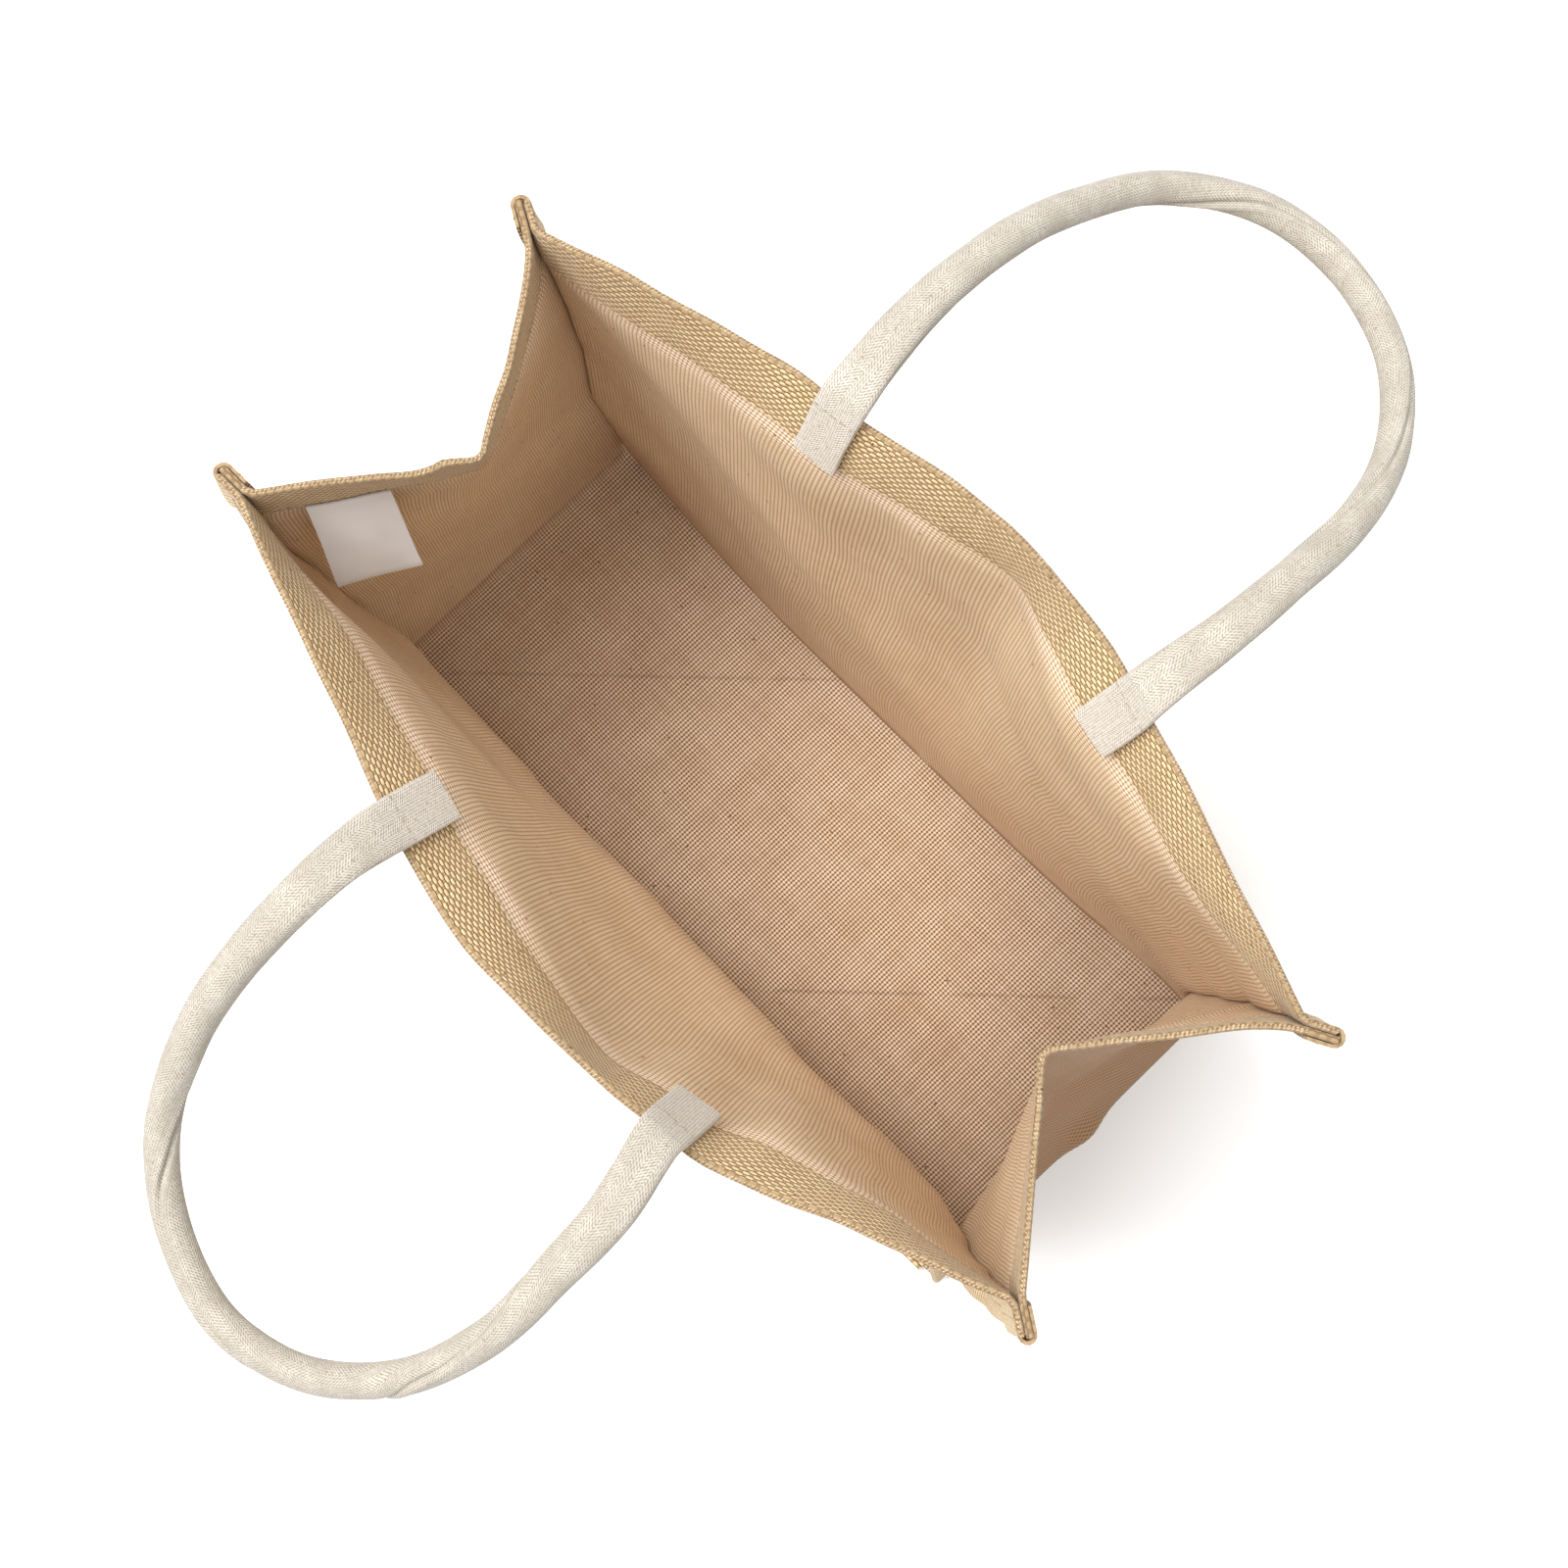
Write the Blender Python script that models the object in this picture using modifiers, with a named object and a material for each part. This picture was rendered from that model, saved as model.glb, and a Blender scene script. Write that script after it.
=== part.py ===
"""Open jute shopping bag with two rolled cotton handles, standing on its base.

X runs along the bag, Y from the front panel (-Y) to the back panel (+Y), Z up.
The origin is the middle of the base's underside. Sizes below are in millimetres.
"""

import math

import bpy
import numpy as np

MM = 0.001

# Driving sizes
HEIGHT = 322.0
CLOTH = 1.3
GAP = 0.3
PITCH = CLOTH + GAP
HEM = 30.0
ALLOWANCE = 12.0
STRIP_ALLOWANCE = 11.4
WRAP_RETURN = 9.0
SEAM_EASE = 2.0
BASE_HALF_LENGTH = 209.0
BASE_CORNER = 5.0
CORNER_NOTCH = 9.0
HANDLE_TAB_WIDTH = 20.0
HANDLE_TAB_THICK = 4.5
HANDLE_WIDE = 14.6
HANDLE_DEEP = 12.6
LABEL_THICK = 1.0

# Heights of the three stacked layers along the base seam
LAYER_LOW = CLOTH / 2
LAYER_MIDDLE = LAYER_LOW + PITCH
SEAM_LEVEL = LAYER_MIDDLE + PITCH / 2

RIM = HEIGHT - PITCH / 2
HEM_EDGE = HEIGHT - HEM
HEM_START = HEM_EDGE - 10.0
STEPS = np.arange(0.0, HEIGHT + 1.0)
UP = np.array([0.0, 0.0, 1.0])

# Corner seams. Columns: height up the cloth, x, y.
FRONT_LEFT_SEAM = (
    (0, -209, -87),
    (30, -208, -82),
    (90, -206, -75),
    (170, -205, -72),
    (250, -204, -73.5),
    (322, -202, -73.5),
)
FRONT_RIGHT_SEAM = (
    (0, 209, -83),
    (45, 196, -77),
    (92, 191, -72),
    (180, 196, -70.5),
    (250, 199, -71),
    (322, 200.5, -71),
)
BACK_LEFT_SEAM = (
    (0, -209, 85.5),
    (30, -208, 83),
    (70, -207, 79.5),
    (130, -205, 76),
    (190, -204, 76),
    (322, -202, 74),
)
BACK_RIGHT_SEAM = (
    (0, 209, 90),
    (28, 195, 90),
    (90, 197, 90),
    (180, 200, 83),
    (280, 199, 74),
    (322, 202, 71),
)

# Each corner: its seam, the fin's heading in degrees at the base and at the rim,
# and the way to turn from the fin to the panel's side of it.
CORNERS = {
    "front_left": (FRONT_LEFT_SEAM, 270.0, 183.0, 1.0),
    "front_right": (FRONT_RIGHT_SEAM, -90.0, -30.0, -1.0),
    "back_left": (BACK_LEFT_SEAM, 90.0, 151.0, -1.0),
    "back_right": (BACK_RIGHT_SEAM, 90.0, 26.0, 1.0),
}

# The back edge of the base. Columns: x, distance from the middle.
BACK_BASE = ((-209, 85.5), (-100, 80.5), (-20, 81.5), (120, 86), (190, 91), (209, 90))
FRONT_BASE = ((-209, 87), (0, 87), (130, 86), (209, 83))

# Rim of each panel. Columns: share of the width, how far the rim stands out from the
# line between its corners, lean of the hem from the vertical in degrees.
FRONT_RIM = (
    (0.0, 0, 0),
    (0.05, 7, 10),
    (0.13, 17, 23),
    (0.21, 28, 27),
    (0.28, 37, 31),
    (0.34, 43, 31),
    (0.40, 49, 32),
    (0.46, 52.5, 28),
    (0.51, 53, 21),
    (0.56, 52, 12),
    (0.61, 51, 10),
    (0.66, 49, 19),
    (0.72, 45, 19),
    (0.76, 39, 26),
    (0.80, 32, 24),
    (0.86, 21, 19),
    (0.92, 12, 13),
    (0.97, 5, 6),
    (1.0, 0, 0),
)
BACK_RIM = (
    (0.0, 0, 0),
    (0.05, 6, 9),
    (0.11, 13, 14),
    (0.17, 21, 19),
    (0.22, 27, 23),
    (0.28, 34, 28),
    (0.34, 38, 28),
    (0.40, 42.5, 21),
    (0.46, 46, 18),
    (0.51, 48.5, 13),
    (0.55, 47.5, 8),
    (0.60, 45, 19),
    (0.66, 41.5, 28),
    (0.72, 36, 28),
    (0.77, 31, 27),
    (0.83, 23, 24),
    (0.89, 14, 17),
    (0.95, 6.5, 8),
    (1.0, 0, 0),
)

# Each panel: its corners, the sign of y outward, its base edge, its rim, the height
# where its outward lean begins, and how deep its low crease is pushed in.
PANELS = {
    "front": ("front_left", "front_right", -1.0, FRONT_BASE, FRONT_RIM, 92.0, 8.0),
    "back": ("back_left", "back_right", 1.0, BACK_BASE, BACK_RIM, 0.0, 0.0),
}

# The outward flare of a rim: its depth, the share of it left beside a corner, and how
# far from the corner it is full.
FLARE_DEPTH = 80.0
FLARE_AT_CORNER = 0.25
FLARE_FULL_FROM = 0.22
LEAN_SOFTNESS = 12.0
BASE_BLEND_HEIGHT = 150.0

# The low crease of a panel: its height, its spread, how high above the base and how far
# from a corner it is full.
CREASE_HEIGHT = 92.0
CREASE_SPREAD = 45.0
CREASE_FULL_HEIGHT = 30.0
CREASE_FULL_FROM = 0.07

# Middle line of each end. Columns: height up the cloth, x, y.
LEFT_FOLD = ((0, -208, 0), (90, -203, 2), (200, -185, 2), (322, -155.5, 1.5))
RIGHT_FOLD = ((0, 209, 2), (45, 192, 5), (90, 176, 5), (200, 161, 1), (322, 148.5, -4))

# Each end: its corners, its fold line, the fold's softness, and how full its front
# and back halves stand.
ENDS = {
    "left": ("front_left", "back_left", LEFT_FOLD, 0.08, 1.0, 0.78),
    "right": ("front_right", "back_right", RIGHT_FOLD, 0.02, 1.0, 0.86),
}
TRIANGLE_HEIGHT = 90.0

# Where the cloth is sampled. The panels and the ends share the heights, so that their
# allowances stay parallel.
SIDE_ROWS = (
    RIM, 306, HEM_EDGE, HEM_START, 262, 238, 212, 184, 156, 132, 110,
    90, 79.2, 66.6, 52.2, 37.8, 23.4, CORNER_NOTCH,
)
PANEL_ROWS = SIDE_ROWS + (SEAM_EASE,)
END_ROWS = (BASE_CORNER,) + SIDE_ROWS[::-1]
PANEL_COLUMNS = (
    0.0, 0.02, 0.05, 0.09, 0.14, 0.21, 0.28, 0.34, 0.40, 0.46, 0.51,
    0.56, 0.61, 0.66, 0.72, 0.79, 0.86, 0.91, 0.95, 0.98, 1.0,
)
END_COLUMNS = (
    -1.0, -0.9, -0.74, -0.58, -0.42, -0.26, -0.12, 0.0,
    0.12, 0.26, 0.42, 0.58, 0.74, 0.9, 1.0,
)
BASE_FLAT_END = BASE_HALF_LENGTH - BASE_CORNER
BASE_ROWS = (
    -BASE_FLAT_END, -185, -150, -110, -70, -25, 25, 70, 110, 150, 185, BASE_FLAT_END,
)
BASE_FLAT_SHARE = 0.78
BASE_RAISED_SHARE = 0.98
CORNER_ANGLES = (30.0, 60.0)
FOLD_ANGLES = (60.0, 120.0)
WRAP_ANGLES = (180.0, 120.0, 60.0, 0.0)

# Handle runs beyond the rim, from the left tab to the right one. Columns: x, y, z.
FRONT_RUN = (
    (-74, -150, 339),
    (-74, -188, 330),
    (-69, -223, 312),
    (-54, -256, 294),
    (-27, -278, 284),
    (7, -288, 280),
    (43, -279, 282),
    (70, -252, 290),
    (82, -218, 305),
    (83, -182, 323),
    (82, -152, 336),
)
BACK_RUN = (
    (-76, 150, 338),
    (-76, 194, 328),
    (-70, 233, 310),
    (-54, 270, 292),
    (-24, 293, 284),
    (13, 298, 282),
    (49, 285, 288),
    (77, 254, 300),
    (88, 212, 319),
    (87, 173, 334),
    (85, 146, 338),
)
HANDLE_RUNS = {"front": FRONT_RUN, "back": BACK_RUN}
HANDLE_STATIONS = 34
RING_POINTS = 12
TAB_SPANS = ((0.28, 0.34), (0.66, 0.72))
TAB_ROWS = (HEM_EDGE, 306, RIM)
TAB_LIFT = PITCH + CLOTH / 2 + GAP + HANDLE_TAB_THICK / 2
TAB_RISE = 11.0
TURN_LENGTH = 40.0

# Width and depth along a handle. Columns: distance from the rim, width, depth, squareness.
HANDLE_SECTION = (
    (-40, HANDLE_TAB_WIDTH, HANDLE_TAB_THICK, 6.0),
    (3, HANDLE_TAB_WIDTH, HANDLE_TAB_THICK, 6.0),
    (14, 19.4, 6.0, 4.0),
    (32, 17.6, 9.0, 3.0),
    (60, 15.8, 11.6, 2.3),
    (100, HANDLE_WIDE, HANDLE_DEEP, 2.0),
    (400, HANDLE_WIDE, HANDLE_DEEP, 2.0),
)

# Label corners: top edge then bottom edge, each from the front. Columns: x, y, z.
LABEL_CORNERS = (
    ((-192.9, -60.1, 296.1), (-175.4, -31.1, 295.1)),
    ((-174.8, -71.2, 253.6), (-158.4, -40.8, 253.6)),
)
LABEL_CURL = 1.5
LABEL_ROWS = 6
LABEL_COLUMNS = 5

JUTE_PANEL = (0.55, 0.37, 0.20, 1.0)
JUTE_STRIP = (0.50, 0.33, 0.18, 1.0)
COTTON = (0.80, 0.74, 0.62, 1.0)
LABEL_CLOTH = (0.51, 0.45, 0.38, 1.0)


def smooth(table, column, at):
    """Reads a smooth curve through one column of a table, keyed by its first column."""
    keys = np.array([row[0] for row in table], float)
    values = np.array([row[column] for row in table], float)
    slopes = np.gradient(values, keys)
    at = np.clip(np.asarray(at, float), keys[0], keys[-1])
    low = np.clip(np.searchsorted(keys, at, side="right") - 1, 0, len(keys) - 2)
    span = keys[low + 1] - keys[low]
    t = (at - keys[low]) / span
    rise = values[low + 1] - values[low]
    bend = slopes[low] * t * (1 - t) ** 2 - slopes[low + 1] * t * t * (1 - t)
    return values[low] + rise * t * t * (3 - 2 * t) + span * bend


def ease(value):
    """Goes smoothly from 0 to 1 while the value goes from 0 to 1."""
    t = np.clip(value, 0.0, 1.0)
    return t * t * (3 - 2 * t)


def unit(vectors):
    """Vectors scaled to length 1."""
    length = np.linalg.norm(vectors, axis=-1, keepdims=True)
    return vectors / np.maximum(length, 1e-9)


def climb(x, y, start):
    """Gives heights to a line drawn up the cloth, so that it keeps the cloth's length."""
    run = np.hypot(np.diff(x), np.diff(y))
    rise = np.sqrt(np.maximum(1.0 - run * run, 0.01))
    z = start + np.concatenate([[0.0], np.cumsum(rise)])
    return np.stack([x, y, z], axis=-1)


def at_height(line, height):
    """Point of a line sampled at each millimetre of cloth height."""
    return np.array([np.interp(height, STEPS, line[:, axis]) for axis in range(3)])


def layers_apart():
    """Distance between the two pieces in a side seam: three layers more within the hems."""
    share = np.clip((STEPS - HEM_START) / (HEM_EDGE - HEM_START), 0.0, 1.0)
    return PITCH * (1.0 + 2.0 * share)


def corner_lines(name):
    """Seam line, outward direction of its fin, and direction to the panel's side."""
    table, base_heading, rim_heading, turn = CORNERS[name]
    line = climb(smooth(table, 1, STEPS), smooth(table, 2, STEPS), SEAM_LEVEL)
    heading = np.radians(base_heading + (rim_heading - base_heading) * STEPS / HEIGHT)
    flat = np.zeros_like(heading)
    fin = np.stack([np.cos(heading), np.sin(heading), flat], axis=-1)
    side = np.stack([-turn * np.sin(heading), turn * np.cos(heading), flat], axis=-1)
    return line, fin, side


def panel_columns(name, shares):
    """Lines up a panel's body, one for each share of its width."""
    left, right, outward, base_edge, rim, lean_from, crease = PANELS[name]
    half = layers_apart()[:, None] / 2
    left_line, _, left_side = corner_lines(left)
    right_line, _, right_side = corner_lines(right)
    left_edge = left_line + left_side * half
    right_edge = right_line + right_side * half
    spread = HEIGHT - lean_from
    lines = []
    for share in shares:
        x = left_edge[:, 0] * (1 - share) + right_edge[:, 0] * share
        y = left_edge[:, 1] * (1 - share) + right_edge[:, 1] * share
        bulge = float(smooth(rim, 1, share))
        lean = math.tan(math.radians(float(smooth(rim, 2, share))))
        edge_distance = min(share, 1.0 - share)
        fullness = float(ease(edge_distance / FLARE_FULL_FROM))
        depth = FLARE_DEPTH * (FLARE_AT_CORNER + (1.0 - FLARE_AT_CORNER) * fullness)
        flare = (lean - bulge / spread) / (1.0 - depth / (2.0 * spread))
        slope = lean - flare
        above = STEPS - lean_from
        softened = (above + np.hypot(above, LEAN_SOFTNESS)) / 2
        start = np.where(lean_from > 0.0, softened, above)
        t = np.clip((STEPS - HEIGHT) / depth + 1.0, 0.0, 1.0)
        flared = depth * (t**3 - t**4 / 2)
        stand = slope * start + flare * flared
        across = 1.0 - (1.0 - min(edge_distance / CREASE_FULL_FROM, 1.0)) ** 2
        pushed = np.exp(-(((STEPS - CREASE_HEIGHT) / CREASE_SPREAD) ** 2))
        stand = stand - crease * across * pushed * ease(STEPS / CREASE_FULL_HEIGHT)
        base_shift = float(smooth(base_edge, 1, x[0])) - abs(y[0])
        stand = stand - stand[0] + base_shift * (1.0 - ease(STEPS / BASE_BLEND_HEIGHT))
        lines.append(climb(x, y + outward * stand, LAYER_MIDDLE + PITCH))
    return lines


def offset_grid(grid, distance, toward):
    """Copies a grid of points to a parallel layer on the side that toward points to."""
    along = unit(np.gradient(grid, axis=0))
    before = unit(np.diff(grid, axis=1, prepend=2 * grid[:, :1] - grid[:, 1:2]))
    after = unit(np.diff(grid, axis=1, append=2 * grid[:, -1:] - grid[:, -2:-1]))
    first = unit(np.cross(before, along))
    second = unit(np.cross(after, along))
    middle = unit(first + second)
    reach = distance / np.maximum(np.sum(middle * first, axis=-1, keepdims=True), 0.5)
    sign = np.sign(np.sum(middle * toward, axis=-1, keepdims=True).sum())
    return grid + middle * reach * sign


def rim_fold(outer, inner, below):
    """Rows that carry the cloth from the inner layer over the rim to the outer one."""
    middle = (outer + inner) / 2
    radius = (outer - inner) / 2
    up = unit(outer - below) * np.linalg.norm(radius, axis=-1, keepdims=True)
    rows = []
    for angle in FOLD_ANGLES:
        turn = math.radians(180.0 - angle)
        rows.append(middle + radius * math.cos(turn) + up * math.sin(turn))
    return rows


def turned_edge(seam, fin, side, apart, level):
    """Section of a panel's allowance, from its return round the strip to the seam."""
    centre = seam - side * PITCH / 2
    radius = (apart + PITCH) / 2
    points = [centre - side * radius + fin * (level - WRAP_RETURN)]
    for angle in WRAP_ANGLES:
        turn = math.radians(angle)
        around = side * math.cos(turn) + fin * math.sin(turn)
        points.append(centre + around * radius + fin * level)
    points.append(seam + side * apart / 2 + fin * SEAM_EASE)
    return points


def panel_grid(name):
    """Vertex grid of a panel and the mask of its cells."""
    left, right, outward, base_edge = PANELS[name][:4]
    columns = panel_columns(name, PANEL_COLUMNS)
    apart = layers_apart()
    sides = []
    for corner in (left, right):
        line, fin, side = corner_lines(corner)
        rows = []
        for height in PANEL_ROWS:
            rows.append(
                turned_edge(
                    at_height(line, height),
                    unit(at_height(fin, height)),
                    unit(at_height(side, height)),
                    float(np.interp(height, STEPS, apart)),
                    ALLOWANCE,
                )
            )
        sides.append(np.array(rows))
    body = np.array([[at_height(line, height) for line in columns] for height in PANEL_ROWS])
    body[:, 0] += unit(body[:, 1] - body[:, 0]) * SEAM_EASE
    body[:, -1] += unit(body[:, -2] - body[:, -1]) * SEAM_EASE
    outer = np.concatenate([sides[0], body, sides[1][:, ::-1]], axis=1)

    wrap = len(sides[0][0])
    hem_rows = [row for row, height in enumerate(PANEL_ROWS) if height >= HEM_EDGE]
    sewn = slice(wrap - 2, outer.shape[1] - wrap + 2)
    top = outer[: len(hem_rows) + 1, sewn]
    inward = np.array([0.0, -outward, 0.0])
    hem = offset_grid(top, PITCH, inward)[: len(hem_rows)]
    fold = rim_fold(top[0], hem[0], top[1])

    seam_x = outer[-1, wrap:-wrap, 0]
    seam_y = smooth(base_edge, 1, seam_x)
    out = np.array([0.0, outward, 0.0])
    bottom = []
    for x, y in zip(seam_x, seam_y):
        seam = np.array([x, outward * y, SEAM_LEVEL])
        bottom.append(turned_edge(seam, out, UP, PITCH, ALLOWANCE)[::-1])
    bottom = np.array(bottom).transpose(1, 0, 2)

    rows = len(hem) + len(fold) + len(outer) + len(bottom)
    grid = np.zeros((rows, outer.shape[1], 3))
    first = len(hem) + len(fold)
    last = first + len(outer)
    grid[: len(hem), sewn] = hem[::-1]
    grid[len(hem) : first, sewn] = fold
    grid[first:last] = outer
    grid[last:, wrap:-wrap] = bottom
    used = np.zeros((rows - 1, outer.shape[1] - 1), bool)
    used[: last - 1, wrap:-wrap] = True
    used[: last - 2, wrap - 2 : -(wrap - 2)] = True
    used[first : last - 2, :] = True
    used[last - 1 :, wrap + 1 : -(wrap + 1)] = True
    return grid, used, cut_ways(grid, True)


def end_rows(name):
    """Sections of one end of the strip, from the base corner to the rim."""
    front, back, fold, softness, front_fullness, back_fullness = ENDS[name]
    half = layers_apart()[:, None] / 2
    fold_x = smooth(fold, 1, STEPS)
    fold_y = smooth(fold, 2, STEPS)
    edges = {}
    for key, corner, fullness in ((-1, front, front_fullness), (1, back, back_fullness)):
        line, fin, side = corner_lines(corner)
        edges[key] = (line - side * half, fin, fullness)
    lines = []
    for share in END_COLUMNS:
        edge, _, fullness = edges[-1 if share < 0 else 1]
        away = math.hypot(share, softness) - softness
        away = away / (math.hypot(1.0, softness) - softness)
        flat = np.clip(1.0 - STEPS / TRIANGLE_HEIGHT, 0.0, 0.98)
        outside = np.clip((away - flat) / (1.0 - flat), 0.0, 1.0)
        inset = (1.0 - outside) ** fullness
        x = edge[:, 0] * (1 - inset) + fold_x * inset
        y = fold_y * (1 - abs(share)) + edge[:, 1] * abs(share)
        lines.append(climb(x, y, SEAM_LEVEL))
    rows = []
    for height in END_ROWS:
        body = np.array([at_height(line, height) for line in lines])
        body[0] += unit(body[1] - body[0]) * SEAM_EASE
        body[-1] += unit(body[-2] - body[-1]) * SEAM_EASE
        front_flange = flange_points(edges[-1], height)
        back_flange = flange_points(edges[1], height)
        rows.append(np.concatenate([front_flange, body, back_flange[::-1]]))
    return np.array(rows)


def flange_points(edge, height):
    """The strip's seam allowance at one height, from its cut edge to the seam."""
    line, fin, _ = edge
    start = at_height(line, height)
    out = unit(at_height(fin, height))
    return np.array([start + out * STRIP_ALLOWANCE, start + out * SEAM_EASE])


def base_rows():
    """Sections of the base, flat in the middle and raised by one layer at its seams."""
    rows = []
    for x in BASE_ROWS:
        front = -float(smooth(FRONT_BASE, 1, x))
        back = float(smooth(BACK_BASE, 1, x))
        row = [(x, front - STRIP_ALLOWANCE, LAYER_MIDDLE), (x, front - SEAM_EASE, LAYER_MIDDLE)]
        for share in END_COLUMNS:
            edge = front if share < 0 else back
            y = edge * abs(share)
            if abs(share) == 1.0:
                y -= math.copysign(SEAM_EASE, share)
            raised = (abs(share) - BASE_FLAT_SHARE) / (BASE_RAISED_SHARE - BASE_FLAT_SHARE)
            sunk = 1.0 - float(ease(raised))
            row.append((x, y, LAYER_MIDDLE - PITCH * sunk))
        row.append((x, back + SEAM_EASE, LAYER_MIDDLE))
        row.append((x, back + STRIP_ALLOWANCE, LAYER_MIDDLE))
        rows.append(row)
    return np.array(rows)


def corner_rows(base_row, end_row):
    """Two sections that carry the cloth round a base corner."""
    rows = []
    for angle in CORNER_ANGLES:
        turn = math.radians(angle)
        row = base_row.copy()
        row[:, 0] += (end_row[:, 0] - base_row[:, 0]) * math.sin(turn)
        row[:, 1] += (end_row[:, 1] - base_row[:, 1]) * (angle / 90.0)
        row[:, 2] += (end_row[:, 2] - base_row[:, 2]) * (1 - math.cos(turn))
        rows.append(row)
    return rows


def strip_grid():
    """Vertex grid of the strip, from the left end's hem over the base to the right one's."""
    parts = {}
    for name in ("left", "right"):
        rows = end_rows(name)
        hem_rows = sum(height >= HEM_EDGE for height in END_ROWS)
        top = rows[-(hem_rows + 1) :]
        inward = np.array([1.0 if name == "left" else -1.0, 0.0, 0.0])
        hem = offset_grid(top, PITCH, inward)[1:]
        fold = rim_fold(top[-1], hem[-1], top[-2])
        parts[name] = np.concatenate([rows, np.array(fold)[::-1], hem[::-1]])
    base = base_rows()
    left = corner_rows(base[0], parts["left"][0])[::-1]
    right = corner_rows(base[-1], parts["right"][0])
    grid = np.concatenate([parts["left"][::-1], left, base, right, parts["right"]])
    outer_end_up = np.zeros(grid.shape[1] - 1, bool)
    outer_end_up[:2] = True
    outer_end_up[-2:] = True
    used = np.ones((grid.shape[0] - 1, grid.shape[1] - 1), bool)
    return grid, used, cut_ways(grid, outer_end_up)


def cut_ways(grid, outer_end_up):
    """Which way each cell is cut in two: True joins its first corner to its third.

    The same rule holds on all cloth, so that two allowances sewn together fold alike.
    """
    rise = grid[1:, 1:, 2] - grid[:-1, :-1, 2]
    spread = np.abs(grid[1:, 1:, 1]) - np.abs(grid[:-1, :-1, 1])
    return (rise * spread > 0) == outer_end_up


def mesh_object(name, points, faces, collection, material):
    """Smooth-shaded mesh object from points in millimetres."""
    mesh = bpy.data.meshes.new(name)
    mesh.from_pydata([tuple(point * MM) for point in points], [], faces)
    mesh.validate()
    mesh.shade_smooth()
    mesh.set_sharp_from_angle(angle=math.radians(50.0))
    mesh.materials.append(material)
    obj = bpy.data.objects.new(name, mesh)
    collection.objects.link(obj)
    return obj


def cloth_object(name, grid, used, cut, thickness, collection, material):
    """One open sheet through a vertex grid, given its thickness by a Solidify modifier."""
    numbers = {}
    points = []
    faces = []
    for row, column in np.argwhere(used):
        corners = []
        for spot in ((row, column), (row + 1, column), (row + 1, column + 1), (row, column + 1)):
            if spot not in numbers:
                numbers[spot] = len(points)
                points.append(grid[spot])
            corners.append(numbers[spot])
        first, second, third, fourth = corners
        if cut[row, column]:
            faces += [(first, second, third), (first, third, fourth)]
        else:
            faces += [(first, second, fourth), (second, third, fourth)]
    obj = mesh_object(name, points, faces, collection, material)
    solid = obj.modifiers.new("Thickness", "SOLIDIFY")
    solid.thickness = thickness * MM
    solid.offset = 0.0
    solid.use_even_offset = True
    solid.use_quality_normals = True
    return obj


def tab_frames(name, span):
    """Centre points and width direction of a flat tab lying on the inside of the hem."""
    outward = PANELS[name][2]
    first, second = panel_columns(name, span)
    edges = [np.array([at_height(line, height) for height in TAB_ROWS]) for line in (first, second)]
    across = unit(edges[1] - edges[0])
    middle = (edges[0] + edges[1]) / 2
    along = unit(np.gradient(middle, axis=0))
    lift = unit(np.cross(across, along)) * outward
    points = middle + lift * TAB_LIFT
    leaving = points[-1] + along[-1] * TAB_RISE
    return np.concatenate([points, [leaving]]), np.concatenate([across, across[-1:]])


def handle_frames(name):
    """Centre points, tangents, width directions and distances from the rim."""
    outward = PANELS[name][2]
    left, left_across = tab_frames(name, TAB_SPANS[0])
    right, right_across = tab_frames(name, TAB_SPANS[1])
    control = np.concatenate([left, np.array(HANDLE_RUNS[name], float), right[::-1]])
    steps = np.linalg.norm(np.diff(control, axis=0), axis=1)
    reach = np.concatenate([[0.0], np.cumsum(steps)])
    table = [(key, *point) for key, point in zip(reach, control)]
    tab = len(left)
    loose = np.linspace(reach[tab - 1], reach[-tab], HANDLE_STATIONS)[1:-1]
    stations = np.concatenate([reach[:tab], loose, reach[-tab:]])
    points = np.stack([smooth(table, axis, stations) for axis in (1, 2, 3)], axis=-1)
    tangents = unit(np.gradient(points, stations, axis=0))
    from_left = stations - reach[tab - 2]
    from_right = reach[1 - tab] - stations
    beyond = np.minimum(from_left, from_right)
    level = unit(np.cross(tangents, UP)) * outward
    start = np.where(from_left[:, None] < from_right[:, None], left_across[-1], -right_across[-1])
    start[:tab] = left_across
    start[-tab:] = -right_across[::-1]
    sides = []
    for index, distance in enumerate(beyond):
        share = float(ease((distance - TAB_RISE) / TURN_LENGTH))
        mixed = start[index] * (1 - share) + level[index] * share
        mixed = mixed - tangents[index] * float(mixed @ tangents[index])
        sides.append(unit(mixed))
    return points, tangents, np.array(sides), beyond


def handle_object(name, collection, material):
    """Loft along the handle: flat tabs inside the hem that grow into a rolled webbing."""
    points, tangents, sides, beyond = handle_frames(name)
    vertices = []
    for point, tangent, side, distance in zip(points, tangents, sides, beyond):
        width = float(smooth(HANDLE_SECTION, 1, distance))
        depth = float(smooth(HANDLE_SECTION, 2, distance))
        square = float(smooth(HANDLE_SECTION, 3, distance))
        normal = np.cross(tangent, side)
        for step in range(RING_POINTS):
            angle = 2 * math.pi * step / RING_POINTS
            wide = math.copysign(abs(math.cos(angle)) ** (2 / square), math.cos(angle))
            deep = math.copysign(abs(math.sin(angle)) ** (2 / square), math.sin(angle))
            vertices.append(point + side * wide * width / 2 + normal * deep * depth / 2)
    faces = []
    rings = len(points)
    for ring in range(rings - 1):
        for step in range(RING_POINTS):
            first = ring * RING_POINTS + step
            second = ring * RING_POINTS + (step + 1) % RING_POINTS
            faces.append((first, second, second + RING_POINTS, first + RING_POINTS))
    faces.append(tuple(reversed(range(RING_POINTS))))
    faces.append(tuple(range((rings - 1) * RING_POINTS, rings * RING_POINTS)))
    return mesh_object(name + "_handle", vertices, faces, collection, material)


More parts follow.
